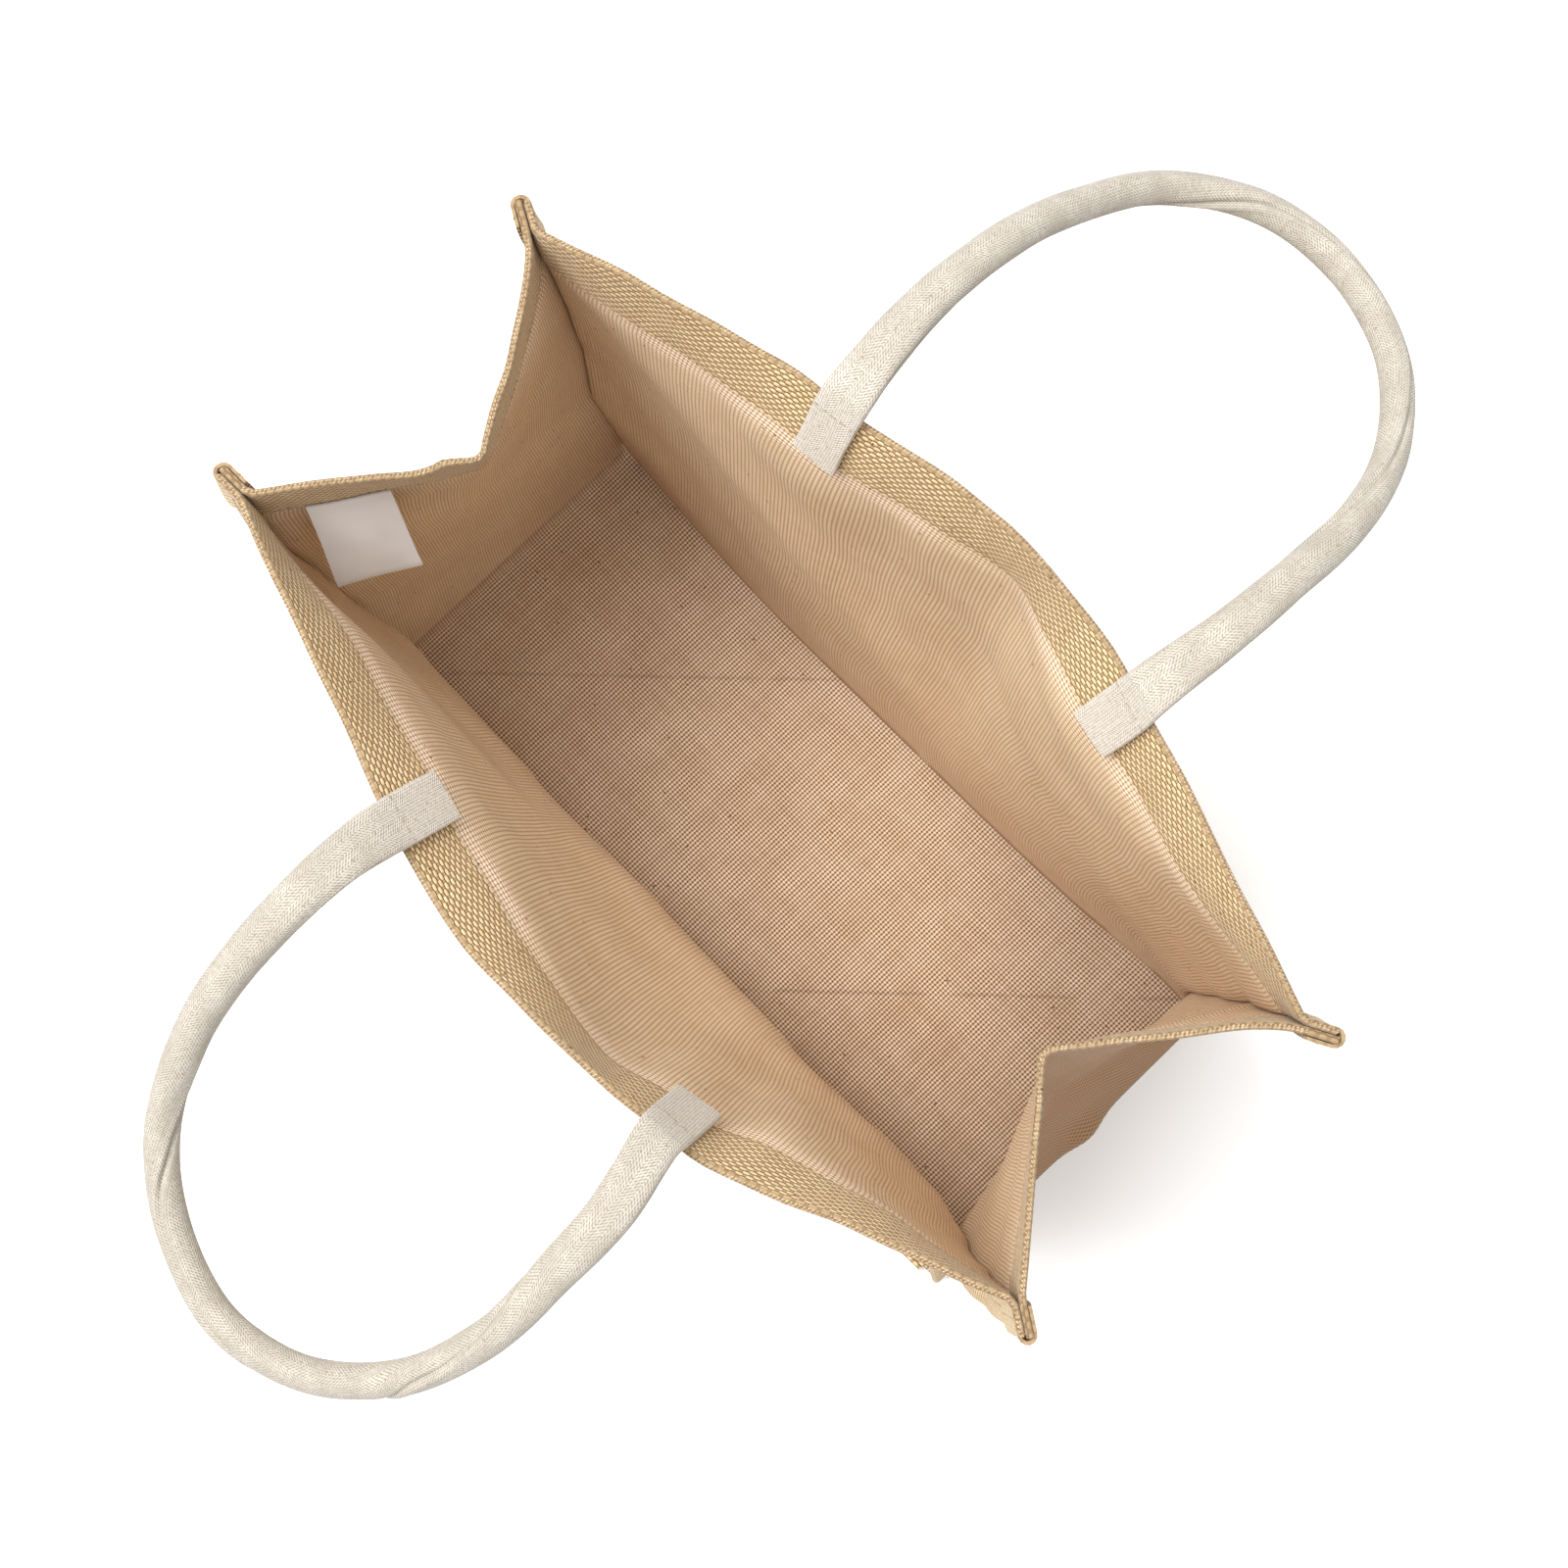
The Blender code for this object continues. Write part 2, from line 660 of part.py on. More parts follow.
def label_grid():
    """Vertex grid of the label that hangs from under the hem, slightly curled."""
    (top_front, top_back), (low_front, low_back) = np.array(LABEL_CORNERS, float)
    rows = []
    for down in np.linspace(0.0, 1.0, LABEL_ROWS):
        left = top_front * (1 - down) + low_front * down
        right = top_back * (1 - down) + low_back * down
        row = []
        for across in np.linspace(0.0, 1.0, LABEL_COLUMNS):
            curl = LABEL_CURL * math.sin(math.pi * down) * math.sin(math.pi * across)
            row.append(left * (1 - across) + right * across + np.array([curl, 0.0, 0.0]))
        rows.append(row)
    grid = np.array(rows)
    used = np.ones((grid.shape[0] - 1, grid.shape[1] - 1), bool)
    return grid, used, cut_ways(grid, True)


def cloth_material(name, colour, roughness):
    """Plain material with the cloth's colour."""
    material = bpy.data.materials.new(name)
    material.use_nodes = True
    shader = material.node_tree.nodes["Principled BSDF"]
    shader.inputs["Base Color"].default_value = colour
    shader.inputs["Roughness"].default_value = roughness
    shader.inputs["Metallic"].default_value = 0.0
    material.diffuse_color = colour
    return material


def main():
    for obj in list(bpy.data.objects):
        bpy.data.objects.remove(obj, do_unlink=True)
    collection = bpy.data.collections.new("burlap_bag")
    bpy.context.scene.collection.children.link(collection)
    jute_panel = cloth_material("jute_panel", JUTE_PANEL, 0.9)
    jute_strip = cloth_material("jute_strip", JUTE_STRIP, 0.9)
    cotton = cloth_material("cotton_webbing", COTTON, 0.85)
    label_cloth = cloth_material("label_cloth", LABEL_CLOTH, 0.8)

    cloth_object("gusset_strip", *strip_grid(), CLOTH, collection, jute_strip)
    for name in ("front", "back"):
        cloth_object(name + "_panel", *panel_grid(name), CLOTH, collection, jute_panel)
        handle_object(name, collection, cotton)
    cloth_object("label", *label_grid(), LABEL_THICK, collection, label_cloth)


main()
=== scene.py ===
"""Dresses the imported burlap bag: woven jute cloth, rolled cotton webbing, stitches and stage.

X runs along the bag, Y from the front panel (-Y) to the back panel (+Y), Z up.
Shape tables are in millimetres. Sewn threads, looks and all that Blender gets are in metres.
"""

import math

import bpy
import numpy as np
from bpy.props import FloatProperty, FloatVectorProperty, IntProperty, PointerProperty
from mathutils import Color, Matrix, Vector


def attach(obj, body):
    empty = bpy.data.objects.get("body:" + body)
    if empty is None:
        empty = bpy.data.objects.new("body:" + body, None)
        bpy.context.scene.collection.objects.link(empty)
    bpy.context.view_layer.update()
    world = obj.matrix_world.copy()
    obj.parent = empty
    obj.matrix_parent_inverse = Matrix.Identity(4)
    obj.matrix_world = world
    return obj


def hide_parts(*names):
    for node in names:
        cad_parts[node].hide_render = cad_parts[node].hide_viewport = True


bl_info = {
    "name": "Burlap bag",
    "version": (1, 0, 0),
    "blender": (4, 5, 0),
    "location": "View3D > Sidebar > Bag",
    "description": "Jute shopping bag with rolled cotton handles",
    "category": "Object",
}

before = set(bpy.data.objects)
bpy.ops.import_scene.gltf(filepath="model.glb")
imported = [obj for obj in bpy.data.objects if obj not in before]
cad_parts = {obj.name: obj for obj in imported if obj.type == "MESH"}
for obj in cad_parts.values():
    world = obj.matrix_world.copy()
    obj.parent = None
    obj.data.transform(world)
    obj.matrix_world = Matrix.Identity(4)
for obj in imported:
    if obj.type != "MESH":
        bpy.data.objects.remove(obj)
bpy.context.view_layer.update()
BODY = "root"
MM = 0.001

# Driving sizes
HEIGHT = 322.0
CLOTH = 1.3
GAP = 0.3
PITCH = CLOTH + GAP
HEM = 30.0
HEM_BLEND = 10.0
ALLOWANCE = 12.0
STRIP_ALLOWANCE = 11.4
WRAP_RETURN = 9.0
SEAM_EASE = 2.0
BASE_HALF_LENGTH = 209.0
BASE_CORNER = 5.0
CORNER_NOTCH = 9.0
HANDLE_TAB_WIDTH = 20.0
HANDLE_TAB_THICK = 4.5
HANDLE_WIDE = 14.6
HANDLE_DEEP = 12.6

# Heights of the three stacked layers along the base seam
LAYER_LOW = CLOTH / 2
LAYER_MIDDLE = LAYER_LOW + PITCH
SEAM_LEVEL = LAYER_MIDDLE + PITCH / 2

RIM = HEIGHT - PITCH / 2
HEM_EDGE = HEIGHT - HEM
HEM_START = HEM_EDGE - HEM_BLEND
STEPS = np.arange(0.0, HEIGHT + 1.0)
UP = np.array([0.0, 0.0, 1.0])

# Limits that keep the cloth's formulas sound: the least rise of a millimetre of cloth, how
# far a mitred corner may reach out, and how flat a fold's foot may be.
LEAST_RISE = 0.1
LEAST_MITRE = 0.5
FLATTEST = 0.98

# A point above the base that the inner faces of all hems look to.
BAG_CENTRE = np.array([0.0, 0.0, 300.0])

# Each corner: its seam as rows of height up the cloth, x and y, the fin's heading in degrees
# at the base and at the rim, and the way to turn from the fin to the panel's side of it.
CORNERS = {
    "front_left": (
        (
            (0, -209, -87), (30, -208, -82), (90, -206, -75),
            (170, -205, -72), (250, -204, -73.5), (322, -202, -73.5),
        ),
        270.0, 183.0, 1.0,
    ),
    "front_right": (
        (
            (0, 209, -83), (45, 196, -77), (92, 191, -72),
            (180, 196, -70.5), (250, 199, -71), (322, 200.5, -71),
        ),
        -90.0, -30.0, -1.0,
    ),
    "back_left": (
        (
            (0, -209, 85.5), (30, -208, 83), (70, -207, 79.5),
            (130, -205, 76), (190, -204, 76), (322, -202, 74),
        ),
        90.0, 151.0, -1.0,
    ),
    "back_right": (
        ((0, 209, 90), (28, 195, 90), (90, 197, 90), (180, 200, 83), (280, 199, 74), (322, 202, 71)),
        90.0, 26.0, 1.0,
    ),
}

# Long edges of the base. Columns: x, distance from the middle.
FRONT_BASE = ((-209, 87), (0, 87), (130, 86), (209, 83))
BACK_BASE = ((-209, 85.5), (-100, 80.5), (-20, 81.5), (120, 86), (190, 91), (209, 90))

# Rim of each panel. Columns: share of the width, how far the rim stands out from the
# line between its corners, lean of the hem from the vertical in degrees.
FRONT_RIM = (
    (0.0, 0, 0), (0.05, 7, 10), (0.13, 17, 23), (0.21, 28, 27), (0.28, 37, 31), (0.34, 43, 31),
    (0.40, 49, 32), (0.46, 52.5, 28), (0.51, 53, 21), (0.56, 52, 12), (0.61, 51, 10), (0.66, 49, 19),
    (0.72, 45, 19), (0.76, 39, 26), (0.80, 32, 24), (0.86, 21, 19), (0.92, 12, 13), (0.97, 5, 6),
    (1.0, 0, 0),
)
BACK_RIM = (
    (0.0, 0, 0), (0.05, 6, 9), (0.11, 13, 14), (0.17, 21, 19), (0.22, 27, 23), (0.28, 34, 28),
    (0.34, 38, 28), (0.40, 42.5, 21), (0.46, 46, 18), (0.51, 48.5, 13), (0.55, 47.5, 8), (0.60, 45, 19),
    (0.66, 41.5, 28), (0.72, 36, 28), (0.77, 31, 27), (0.83, 23, 24), (0.89, 14, 17), (0.95, 6.5, 8),
    (1.0, 0, 0),
)

# Each panel: its corners, the sign of y outward, its base edge, its rim, the height
# where its outward lean begins, and how deep its low crease is pushed in.
PANELS = {
    "front": ("front_left", "front_right", -1.0, FRONT_BASE, FRONT_RIM, 92.0, 8.0),
    "back": ("back_left", "back_right", 1.0, BACK_BASE, BACK_RIM, 0.0, 0.0),
}

# The outward flare of a rim: its depth, the share of it left beside a corner, and how
# far from the corner it is full.
FLARE_DEPTH = 80.0
FLARE_AT_CORNER = 0.25
FLARE_FULL_FROM = 0.22
LEAN_SOFTNESS = 12.0
BASE_BLEND_HEIGHT = 150.0

# The low crease of a panel: its height, its spread, how high above the base and how far
# from a corner it is full.
CREASE_HEIGHT = 92.0
CREASE_SPREAD = 45.0
CREASE_FULL_HEIGHT = 30.0
CREASE_FULL_FROM = 0.07

# Each end: its corners, its middle line as rows of height up the cloth, x and y, the fold's
# softness, and how full its front and back halves stand.
ENDS = {
    "left": (
        "front_left", "back_left",
        ((0, -208, 0), (90, -203, 2), (200, -185, 2), (322, -155.5, 1.5)),
        0.08, 1.0, 0.78,
    ),
    "right": (
        "front_right", "back_right",
        ((0, 209, 2), (45, 192, 5), (90, 176, 5), (200, 161, 1), (322, 148.5, -4)),
        0.02, 1.0, 0.86,
    ),
}
TRIANGLE_HEIGHT = 90.0

# Where the cloth is sampled: every few millimetres, and at each fold and edge. Columns are
# shares of a panel's width, or of the way from an end's middle to its corners.
ROW_STEP = 6.0
FIRST_ROW = 15.0
COLUMN_COUNT = 56
HALF_END_COLUMNS = 18
BASE_ROW_COUNT = 57
SIDE_ROWS = tuple(
    sorted(
        {RIM, RIM - 3.0, HEM_EDGE, HEM_EDGE - 3.0, HEM_EDGE - 6.0, HEM_START, CORNER_NOTCH}
        | set(np.arange(FIRST_ROW, HEM_START - 1.0, ROW_STEP))
        | set(np.arange(HEM_EDGE + ROW_STEP, RIM - 4.0, ROW_STEP)),
        reverse=True,
    )
)
PANEL_ROWS = (*SIDE_ROWS, SEAM_EASE)
END_ROWS = (BASE_CORNER, *SIDE_ROWS[::-1])
PANEL_COLUMNS = (0.0, *np.linspace(0.02, 0.98, COLUMN_COUNT), 1.0)
HALF_COLUMNS = np.linspace(0.04, 1.0, HALF_END_COLUMNS)
END_COLUMNS = (*(-HALF_COLUMNS[::-1]), 0.0, *HALF_COLUMNS)
BASE_FLAT_END = BASE_HALF_LENGTH - BASE_CORNER
BASE_FLAT_SHARE = 0.78
BASE_RAISED_SHARE = 0.98
CORNER_ANGLES = (15.0, 30.0, 45.0, 60.0, 75.0)
FOLD_ANGLES = (20.0, 45.0, 70.0, 90.0, 110.0, 135.0, 160.0)
WRAP_ANGLES = (180.0, 150.0, 120.0, 90.0, 60.0, 30.0, 0.0)

# Soft unevenness of the whole bag, and the heights where it starts and is full. Columns:
# axis that moves, amplitude, wave length along x, y and z, phase in degrees.
UNEVEN = (
    (1, 1.0, 190, 240, 210, 20),
    (0, 0.8, 260, 170, 180, 110),
    (2, 0.5, 150, 190, 330, 250),
    (1, 0.5, 83, 110, 97, 75),
    (0, 0.45, 101, 79, 88, 190),
    (1, 0.22, 41, 57, 47, 310),
)
UNEVEN_FROM = 4.0
UNEVEN_FULL = 60.0

# Small dents and nubs. Columns: centre x, y, z, spread along x, y, z, push x, y, z.
NUBS = (
    (209, 9, 6, 14, 12, 15, 4.0, 0, 0),
    (-163, -8, 320, 12, 5, 22, -2.4, 0, 0.4),
    (-158, 3, 320, 9, 4, 24, 2.0, 0, 0),
    (-172, -22, 320, 14, 6, 20, 1.1, 0, 0),
    (-166, 18, 318, 14, 6, 22, -0.9, 0.5, 0.3),
    (-172, 33, 318, 14, 6, 22, 0.9, -0.4, 0),
    (155, 8, 318, 10, 7, 20, 1.2, 0.5, 0),
    (160, -18, 318, 10, 8, 20, 1.0, -0.4, 0),
    (10, 118, 300, 26, 14, 26, 0, -1.4, 0),
    (48, 112, 300, 18, 14, 22, 0, 1.2, 0),
    (-120, -106, 312, 20, 14, 18, 0, 1.2, 0),
)

# Handle runs beyond the rim, from the left tab to the right one. Columns: x, y, z.
HANDLE_RUNS = {
    "front": (
        (-74, -150, 339), (-74, -188, 330), (-69, -223, 312), (-54, -256, 294), (-27, -278, 284),
        (7, -288, 280), (43, -279, 282), (70, -252, 290), (82, -218, 305), (83, -182, 323),
        (82, -152, 336),
    ),
    "back": (
        (-76, 150, 338), (-76, 194, 328), (-70, 233, 310), (-54, 270, 292), (-24, 293, 284),
        (13, 298, 282), (49, 285, 288), (77, 254, 300), (88, 212, 319), (87, 173, 334),
        (85, 146, 338),
    ),
}
HANDLE_STATIONS = 150
RING_POINTS = 64
TAB_SPANS = {"front": ((0.284, 0.344), (0.66, 0.72)), "back": ((0.288, 0.348), (0.67, 0.73))}
TAB_ROWS = (HEM_EDGE, 306, RIM)
TAB_LIFT = PITCH + CLOTH / 2 + GAP + HANDLE_TAB_THICK / 2
TAB_RISE = 11.0
TURN_LENGTH = 40.0

# Section along a handle. Columns: distance from the rim, width, depth, squareness.
HANDLE_SECTION = (
    (-40, HANDLE_TAB_WIDTH, HANDLE_TAB_THICK, 6.0),
    (3, HANDLE_TAB_WIDTH, HANDLE_TAB_THICK, 6.0),
    (14, 19.4, 6.0, 4.0),
    (32, 17.6, 9.0, 3.0),
    (60, 15.8, 11.6, 2.3),
    (100, HANDLE_WIDE, HANDLE_DEEP, 2.0),
    (400, HANDLE_WIDE, HANDLE_DEEP, 2.0),
)

# Where the webbing's long seam lies round a handle: 0 is the inside of the loop, 90 the
# top and 180 the outside. Columns: share of the loose run, angle in degrees.
GROOVES = {
    "front": (
        (0.0, 0), (0.31, 0), (0.36, 50), (0.395, 100), (0.46, 114), (0.49, 124), (0.52, 143),
        (0.56, 180), (0.66, 180), (0.68, 134), (0.73, 96), (0.81, 36), (0.85, 0), (1.0, 0),
    ),
    "back": ((0.0, 0), (0.36, 0), (0.46, 100), (0.60, 150), (0.72, 90), (0.85, 0), (1.0, 0)),
}

# The seam's groove and the lip beside it, and the distances from the rim where the groove
# starts and is full.
GROOVE_DEPTH = 1.3
GROOVE_HALF_WIDTH = 1.1
LIP_HEIGHT = 0.5
LIP_PLACE = 2.2 * GROOVE_HALF_WIDTH
LIP_HALF_WIDTH = 1.3
GROOVE_FROM = 16.0
GROOVE_FULL = 45.0

# Lumps of a handle's core. Columns: height, length along it, folds round it, phase.
LUMPS = ((0.05, 31.0, 2, 0.3), (0.1, 67.0, 1, 4.0))

# Where a tab's flat webbing ends, and over what length it turns to loose webbing: the painted
# light that makes the tabs lighter fades out over this length.
TAB_LIGHT_UNTIL = 2.0
TAB_LIGHT_FADE = 25.0

# Label corners: top edge then bottom edge, each from the front. Columns: x, y, z.
LABEL_CORNERS = (
    ((-192.9, -60.1, 296.1), (-175.4, -31.1, 295.1)),
    ((-174.8, -71.2, 253.6), (-158.4, -40.8, 253.6)),
)
LABEL_CURL = 1.5
LABEL_ROWS = 14
LABEL_COLUMNS = 11
LABEL_LAYER = 0.35
LABEL_LAYER_SHIFT = 0.31
LABEL_BEND = (45.0, 90.0, 135.0)

# Where the sewn threads lie on the cloth.
HEM_FRAY = 1.0
RIM_THREAD_RISE = CLOTH / 2 - 0.15
STITCH_RISE = 0.05
FIN_STITCH = 5.0
TAB_STITCH_SHARE = 0.1
TAB_STITCH_MARGIN = 1.2
TAB_STITCH_POINTS = 9

# Sizes of one sewn thread, in metres, its turn in radians, and how much its size varies.
# A rim thread's pitch is that of the warp, and its length is a share of its pitch.
THREAD_KEYS = ("Pitch", "Length", "Width", "Height", "Turn", "Variation")
STITCH_SIZES = (0.0038, 0.0030, 0.00055, 0.0004, 0.0, 0.06)
RIM_THREAD_SHARE = 0.82
RIM_THREAD_SIZES = (0.0008, 0.0006, 0.5, 0.15)
SEWING_MOTTLE = 300.0
RIM_MOTTLE = 160.0

# How the jute is woven on each side: how far the threads wander, the widths of warp and
# weft as shares of their pitch, and the heights of warp and weft.
OUTSIDE_WEAVE = (0.6, 0.7, 0.94, 0.45, 1.0)
INSIDE_WEAVE = (0.06, 0.92, 0.9, 0.9, 0.8)

# Noise scales of the warp's and the weft's wander and of the tone along a thread, how far
# apart two threads' tones are read, and what each thread and its noise add to the tone.
WANDER_SCALES = (38.0, 45.0)
TONE_SCALE = 60.0
TONE_STEPS = (5.1, 7.3)
THREAD_TONE = 0.12
NOISE_TONE = 0.38

# How the height of warp and weft swings as they cross, and its middle.
CROSSINGS = ((0.5, 0.5), (-0.36, 0.64))

# Flecks of each cloth: how many a metre, their size in cells, and the share of cells with one.
OUTSIDE_FLECKS = (210.0, 0.15, 0.03)
INSIDE_FLECKS = (190.0, 0.14, 0.018)
COTTON_FLECKS = (330.0, 0.17, 0.07)

# The pale edge of the film under the hem, and creases left in the base by folding the bag
# flat, dented in the relief and painted darker as shade. Columns: sign of y, x plus or minus
# y along the line, depth.
FILM_EDGE = 16.0
BASE_CREASES = ((-1.0, -123.0, 1.0), (-1.0, 104.0, 1.0), (1.0, 118.0, 0.25), (1.0, -112.0, 0.2))
CREASE_LINE = 2.2

# Painted shade where shadow falls: darkening of the wall's foot by height, of the back half by
# y, and of the base's far corner by x plus slant times y. Each: from, to, and the shares there,
# in metres.
WALL_FOOT_SHADE = (0.02, 0.13, 0.32, 0.0)
BACK_HALF = (0.0, 0.05, 0.0, 1.0)
FAR_SLANT = 1.2
FAR_CORNER_SHADE = (0.09, 0.24, 0.0, 0.3)

# Reflection of all materials, the relief of the fine ones and the label's thread pitch, in
# metres, and the noise scale of a yarn's fuzz.
GLOSS = 0.25
YARN_DEPTH = 0.0002
COTTON_DEPTH = 0.0003
TAPE_DEPTH = 0.0001
TAPE_PITCH = 0.0004
YARN_FUZZ = 2600.0

# Angles in degrees above which an edge is shaded sharp.
CLOTH_SHARP = 50.0
HANDLE_SHARP = 60.0
NEVER_SHARP = 180.0

# Stage: where the soft lights come from, and the camera of the photo, in metres.
KEY_DIRECTION = (-0.34, -0.22, 1.0)
TOP_DIRECTION = (-0.05, -0.05, 1.0)
BAG_MIDDLE = (0.0, 0.0, 0.16)
CAMERA_PLACE = (0.1003, -0.0628, 1.0813)
SENSOR_WIDTH = 36.0
CLIP_START = 0.01
CAMERA_AXES = ((0.691, 0.722, -0.022), (-0.714, 0.687, 0.136), (0.113, -0.078, 0.990))
FLOOR_DROP = 0.0003


def smooth(table, column, at):
    """Reads a smooth curve through one column of a table, keyed by its first column."""
    keys = np.array([row[0] for row in table], float)
    values = np.array([row[column] for row in table], float)
    slopes = np.gradient(values, keys)
    at = np.clip(np.asarray(at, float), keys[0], keys[-1])
    low = np.clip(np.searchsorted(keys, at, side="right") - 1, 0, len(keys) - 2)
    span = keys[low + 1] - keys[low]
    t = (at - keys[low]) / span
    rise = values[low + 1] - values[low]
    bend = slopes[low] * t * (1 - t) ** 2 - slopes[low + 1] * t * t * (1 - t)
    return values[low] + rise * t * t * (3 - 2 * t) + span * bend


def ease(value):
    """Goes smoothly from 0 to 1 while the value goes from 0 to 1."""
    t = np.clip(value, 0.0, 1.0)
    return t * t * (3 - 2 * t)


def unit(vectors):
    """Vectors scaled to length 1."""
    length = np.linalg.norm(vectors, axis=-1, keepdims=True)
    return vectors / np.maximum(length, 1e-9)


def lengths_along(points):
    """Length from the first point of a line to each of its points."""
    steps = np.linalg.norm(np.diff(points, axis=0), axis=1)
    return np.concatenate([[0.0], np.cumsum(steps)])


def climb(x, y, start):
    """Gives heights to a line drawn up the cloth, so that it keeps the cloth's length."""
    run = np.hypot(np.diff(x), np.diff(y))
    rise = np.sqrt(np.maximum(1.0 - run * run, LEAST_RISE**2))
    z = start + np.concatenate([[0.0], np.cumsum(rise)])
    return np.stack([x, y, z], axis=-1)


def at_heights(line, heights):
    """Points, at some heights, of a line sampled at each millimetre of cloth height."""
    return np.stack([np.interp(heights, STEPS, line[:, axis]) for axis in range(3)], axis=-1)


def layers_apart():
    """Distance between the two pieces in a side seam: three layers more within the hems."""
    share = np.clip((STEPS - HEM_START) / (HEM_EDGE - HEM_START), 0.0, 1.0)
    return PITCH * (1.0 + 2.0 * share)


def corner_lines(name):
    """Seam line, outward direction of its fin, and direction to the panel's side."""
    table, base_heading, rim_heading, turn = CORNERS[name]
    line = climb(smooth(table, 1, STEPS), smooth(table, 2, STEPS), SEAM_LEVEL)
    heading = np.radians(base_heading + (rim_heading - base_heading) * STEPS / HEIGHT)
    flat = np.zeros_like(heading)
    fin = np.stack([np.cos(heading), np.sin(heading), flat], axis=-1)
    side = np.stack([-turn * np.sin(heading), turn * np.cos(heading), flat], axis=-1)
    return line, fin, side


def corner_sections(name):
    """Seam points, both directions and distance between the pieces at a panel's rows."""
    line, fin, side = (at_heights(values, PANEL_ROWS) for values in corner_lines(name))
    return line, unit(fin), unit(side), np.interp(PANEL_ROWS, STEPS, layers_apart())[:, None]


def panel_columns(name, shares):
    """Lines up a panel's body, one for each share of its width."""
    left, right, outward, base_edge, rim, lean_from, crease = PANELS[name]
    half = layers_apart()[:, None] / 2
    left_edge, right_edge = (
        line + side * half for line, _, side in (corner_lines(left), corner_lines(right))
    )
    spread = HEIGHT - lean_from
    above = STEPS - lean_from
    softened = (above + np.hypot(above, LEAN_SOFTNESS)) / 2
    start = np.where(lean_from > 0.0, softened, above)
    pushed = np.exp(-(((STEPS - CREASE_HEIGHT) / CREASE_SPREAD) ** 2))
    lines = []
    for share in shares:
        x = left_edge[:, 0] * (1 - share) + right_edge[:, 0] * share
        y = left_edge[:, 1] * (1 - share) + right_edge[:, 1] * share
        bulge = float(smooth(rim, 1, share))
        lean = math.tan(math.radians(float(smooth(rim, 2, share))))
        edge_distance = min(share, 1.0 - share)
        fullness = float(ease(edge_distance / FLARE_FULL_FROM))
        depth = FLARE_DEPTH * (FLARE_AT_CORNER + (1.0 - FLARE_AT_CORNER) * fullness)
        flare = (lean - bulge / spread) / (1.0 - depth / (2.0 * spread))
        t = np.clip((STEPS - HEIGHT) / depth + 1.0, 0.0, 1.0)
        stand = (lean - flare) * start + flare * (depth * (t**3 - t**4 / 2))
        across = 1.0 - (1.0 - min(edge_distance / CREASE_FULL_FROM, 1.0)) ** 2
        stand = stand - crease * across * pushed * ease(STEPS / CREASE_FULL_HEIGHT)
        base_shift = float(smooth(base_edge, 1, x[0])) - abs(y[0])
        stand = stand - stand[0] + base_shift * (1.0 - ease(STEPS / BASE_BLEND_HEIGHT))
        lines.append(climb(x, y + outward * stand, LAYER_MIDDLE + PITCH))
    return lines


def offset_grid(grid, distance, toward):
    """Copies a grid of points to a parallel layer on the side that toward points to."""
    along = unit(np.gradient(grid, axis=0))
    before = unit(np.diff(grid, axis=1, prepend=2 * grid[:, :1] - grid[:, 1:2]))
    after = unit(np.diff(grid, axis=1, append=2 * grid[:, -1:] - grid[:, -2:-1]))
    first = unit(np.cross(before, along))
    second = unit(np.cross(after, along))
    middle = unit(first + second)
    reach = distance / np.maximum(np.sum(middle * first, axis=-1, keepdims=True), LEAST_MITRE)
    sign = np.sign(np.sum(middle * toward, axis=-1, keepdims=True).sum())
    return grid + middle * reach * sign


def rim_fold(outer, inner, below):
    """Rows that carry the cloth from the inner layer over the rim to the outer one."""
    middle = (outer + inner) / 2
    radius = (outer - inner) / 2
    up = unit(outer - below) * np.linalg.norm(radius, axis=-1, keepdims=True)
    turn = np.radians(180.0 - np.array(FOLD_ANGLES))[:, None, None]
    return middle + radius * np.cos(turn) + up * np.sin(turn)


def turned_edge(seam, fin, side, apart):
    """Sections of a panel's allowance, from its return round the strip to the seam."""
    centre = seam - side * PITCH / 2
    radius = (apart + PITCH) / 2
    points = [centre - side * radius + fin * (ALLOWANCE - WRAP_RETURN)]
    for turn in map(math.radians, WRAP_ANGLES):
        around = side * math.cos(turn) + fin * math.sin(turn)
        points.append(centre + around * radius + fin * ALLOWANCE)
    points.append(seam + side * apart / 2 + fin * SEAM_EASE)
    return np.stack(points, axis=1)


def body_grid(columns, heights):
    """Rows of points across a body, whose ends lie inward where the seam's bend begins."""
    body = np.stack([at_heights(line, heights) for line in columns], axis=1)
    body[:, 0] += unit(body[:, 1] - body[:, 0]) * SEAM_EASE
    body[:, -1] += unit(body[:, -2] - body[:, -1]) * SEAM_EASE
    return body


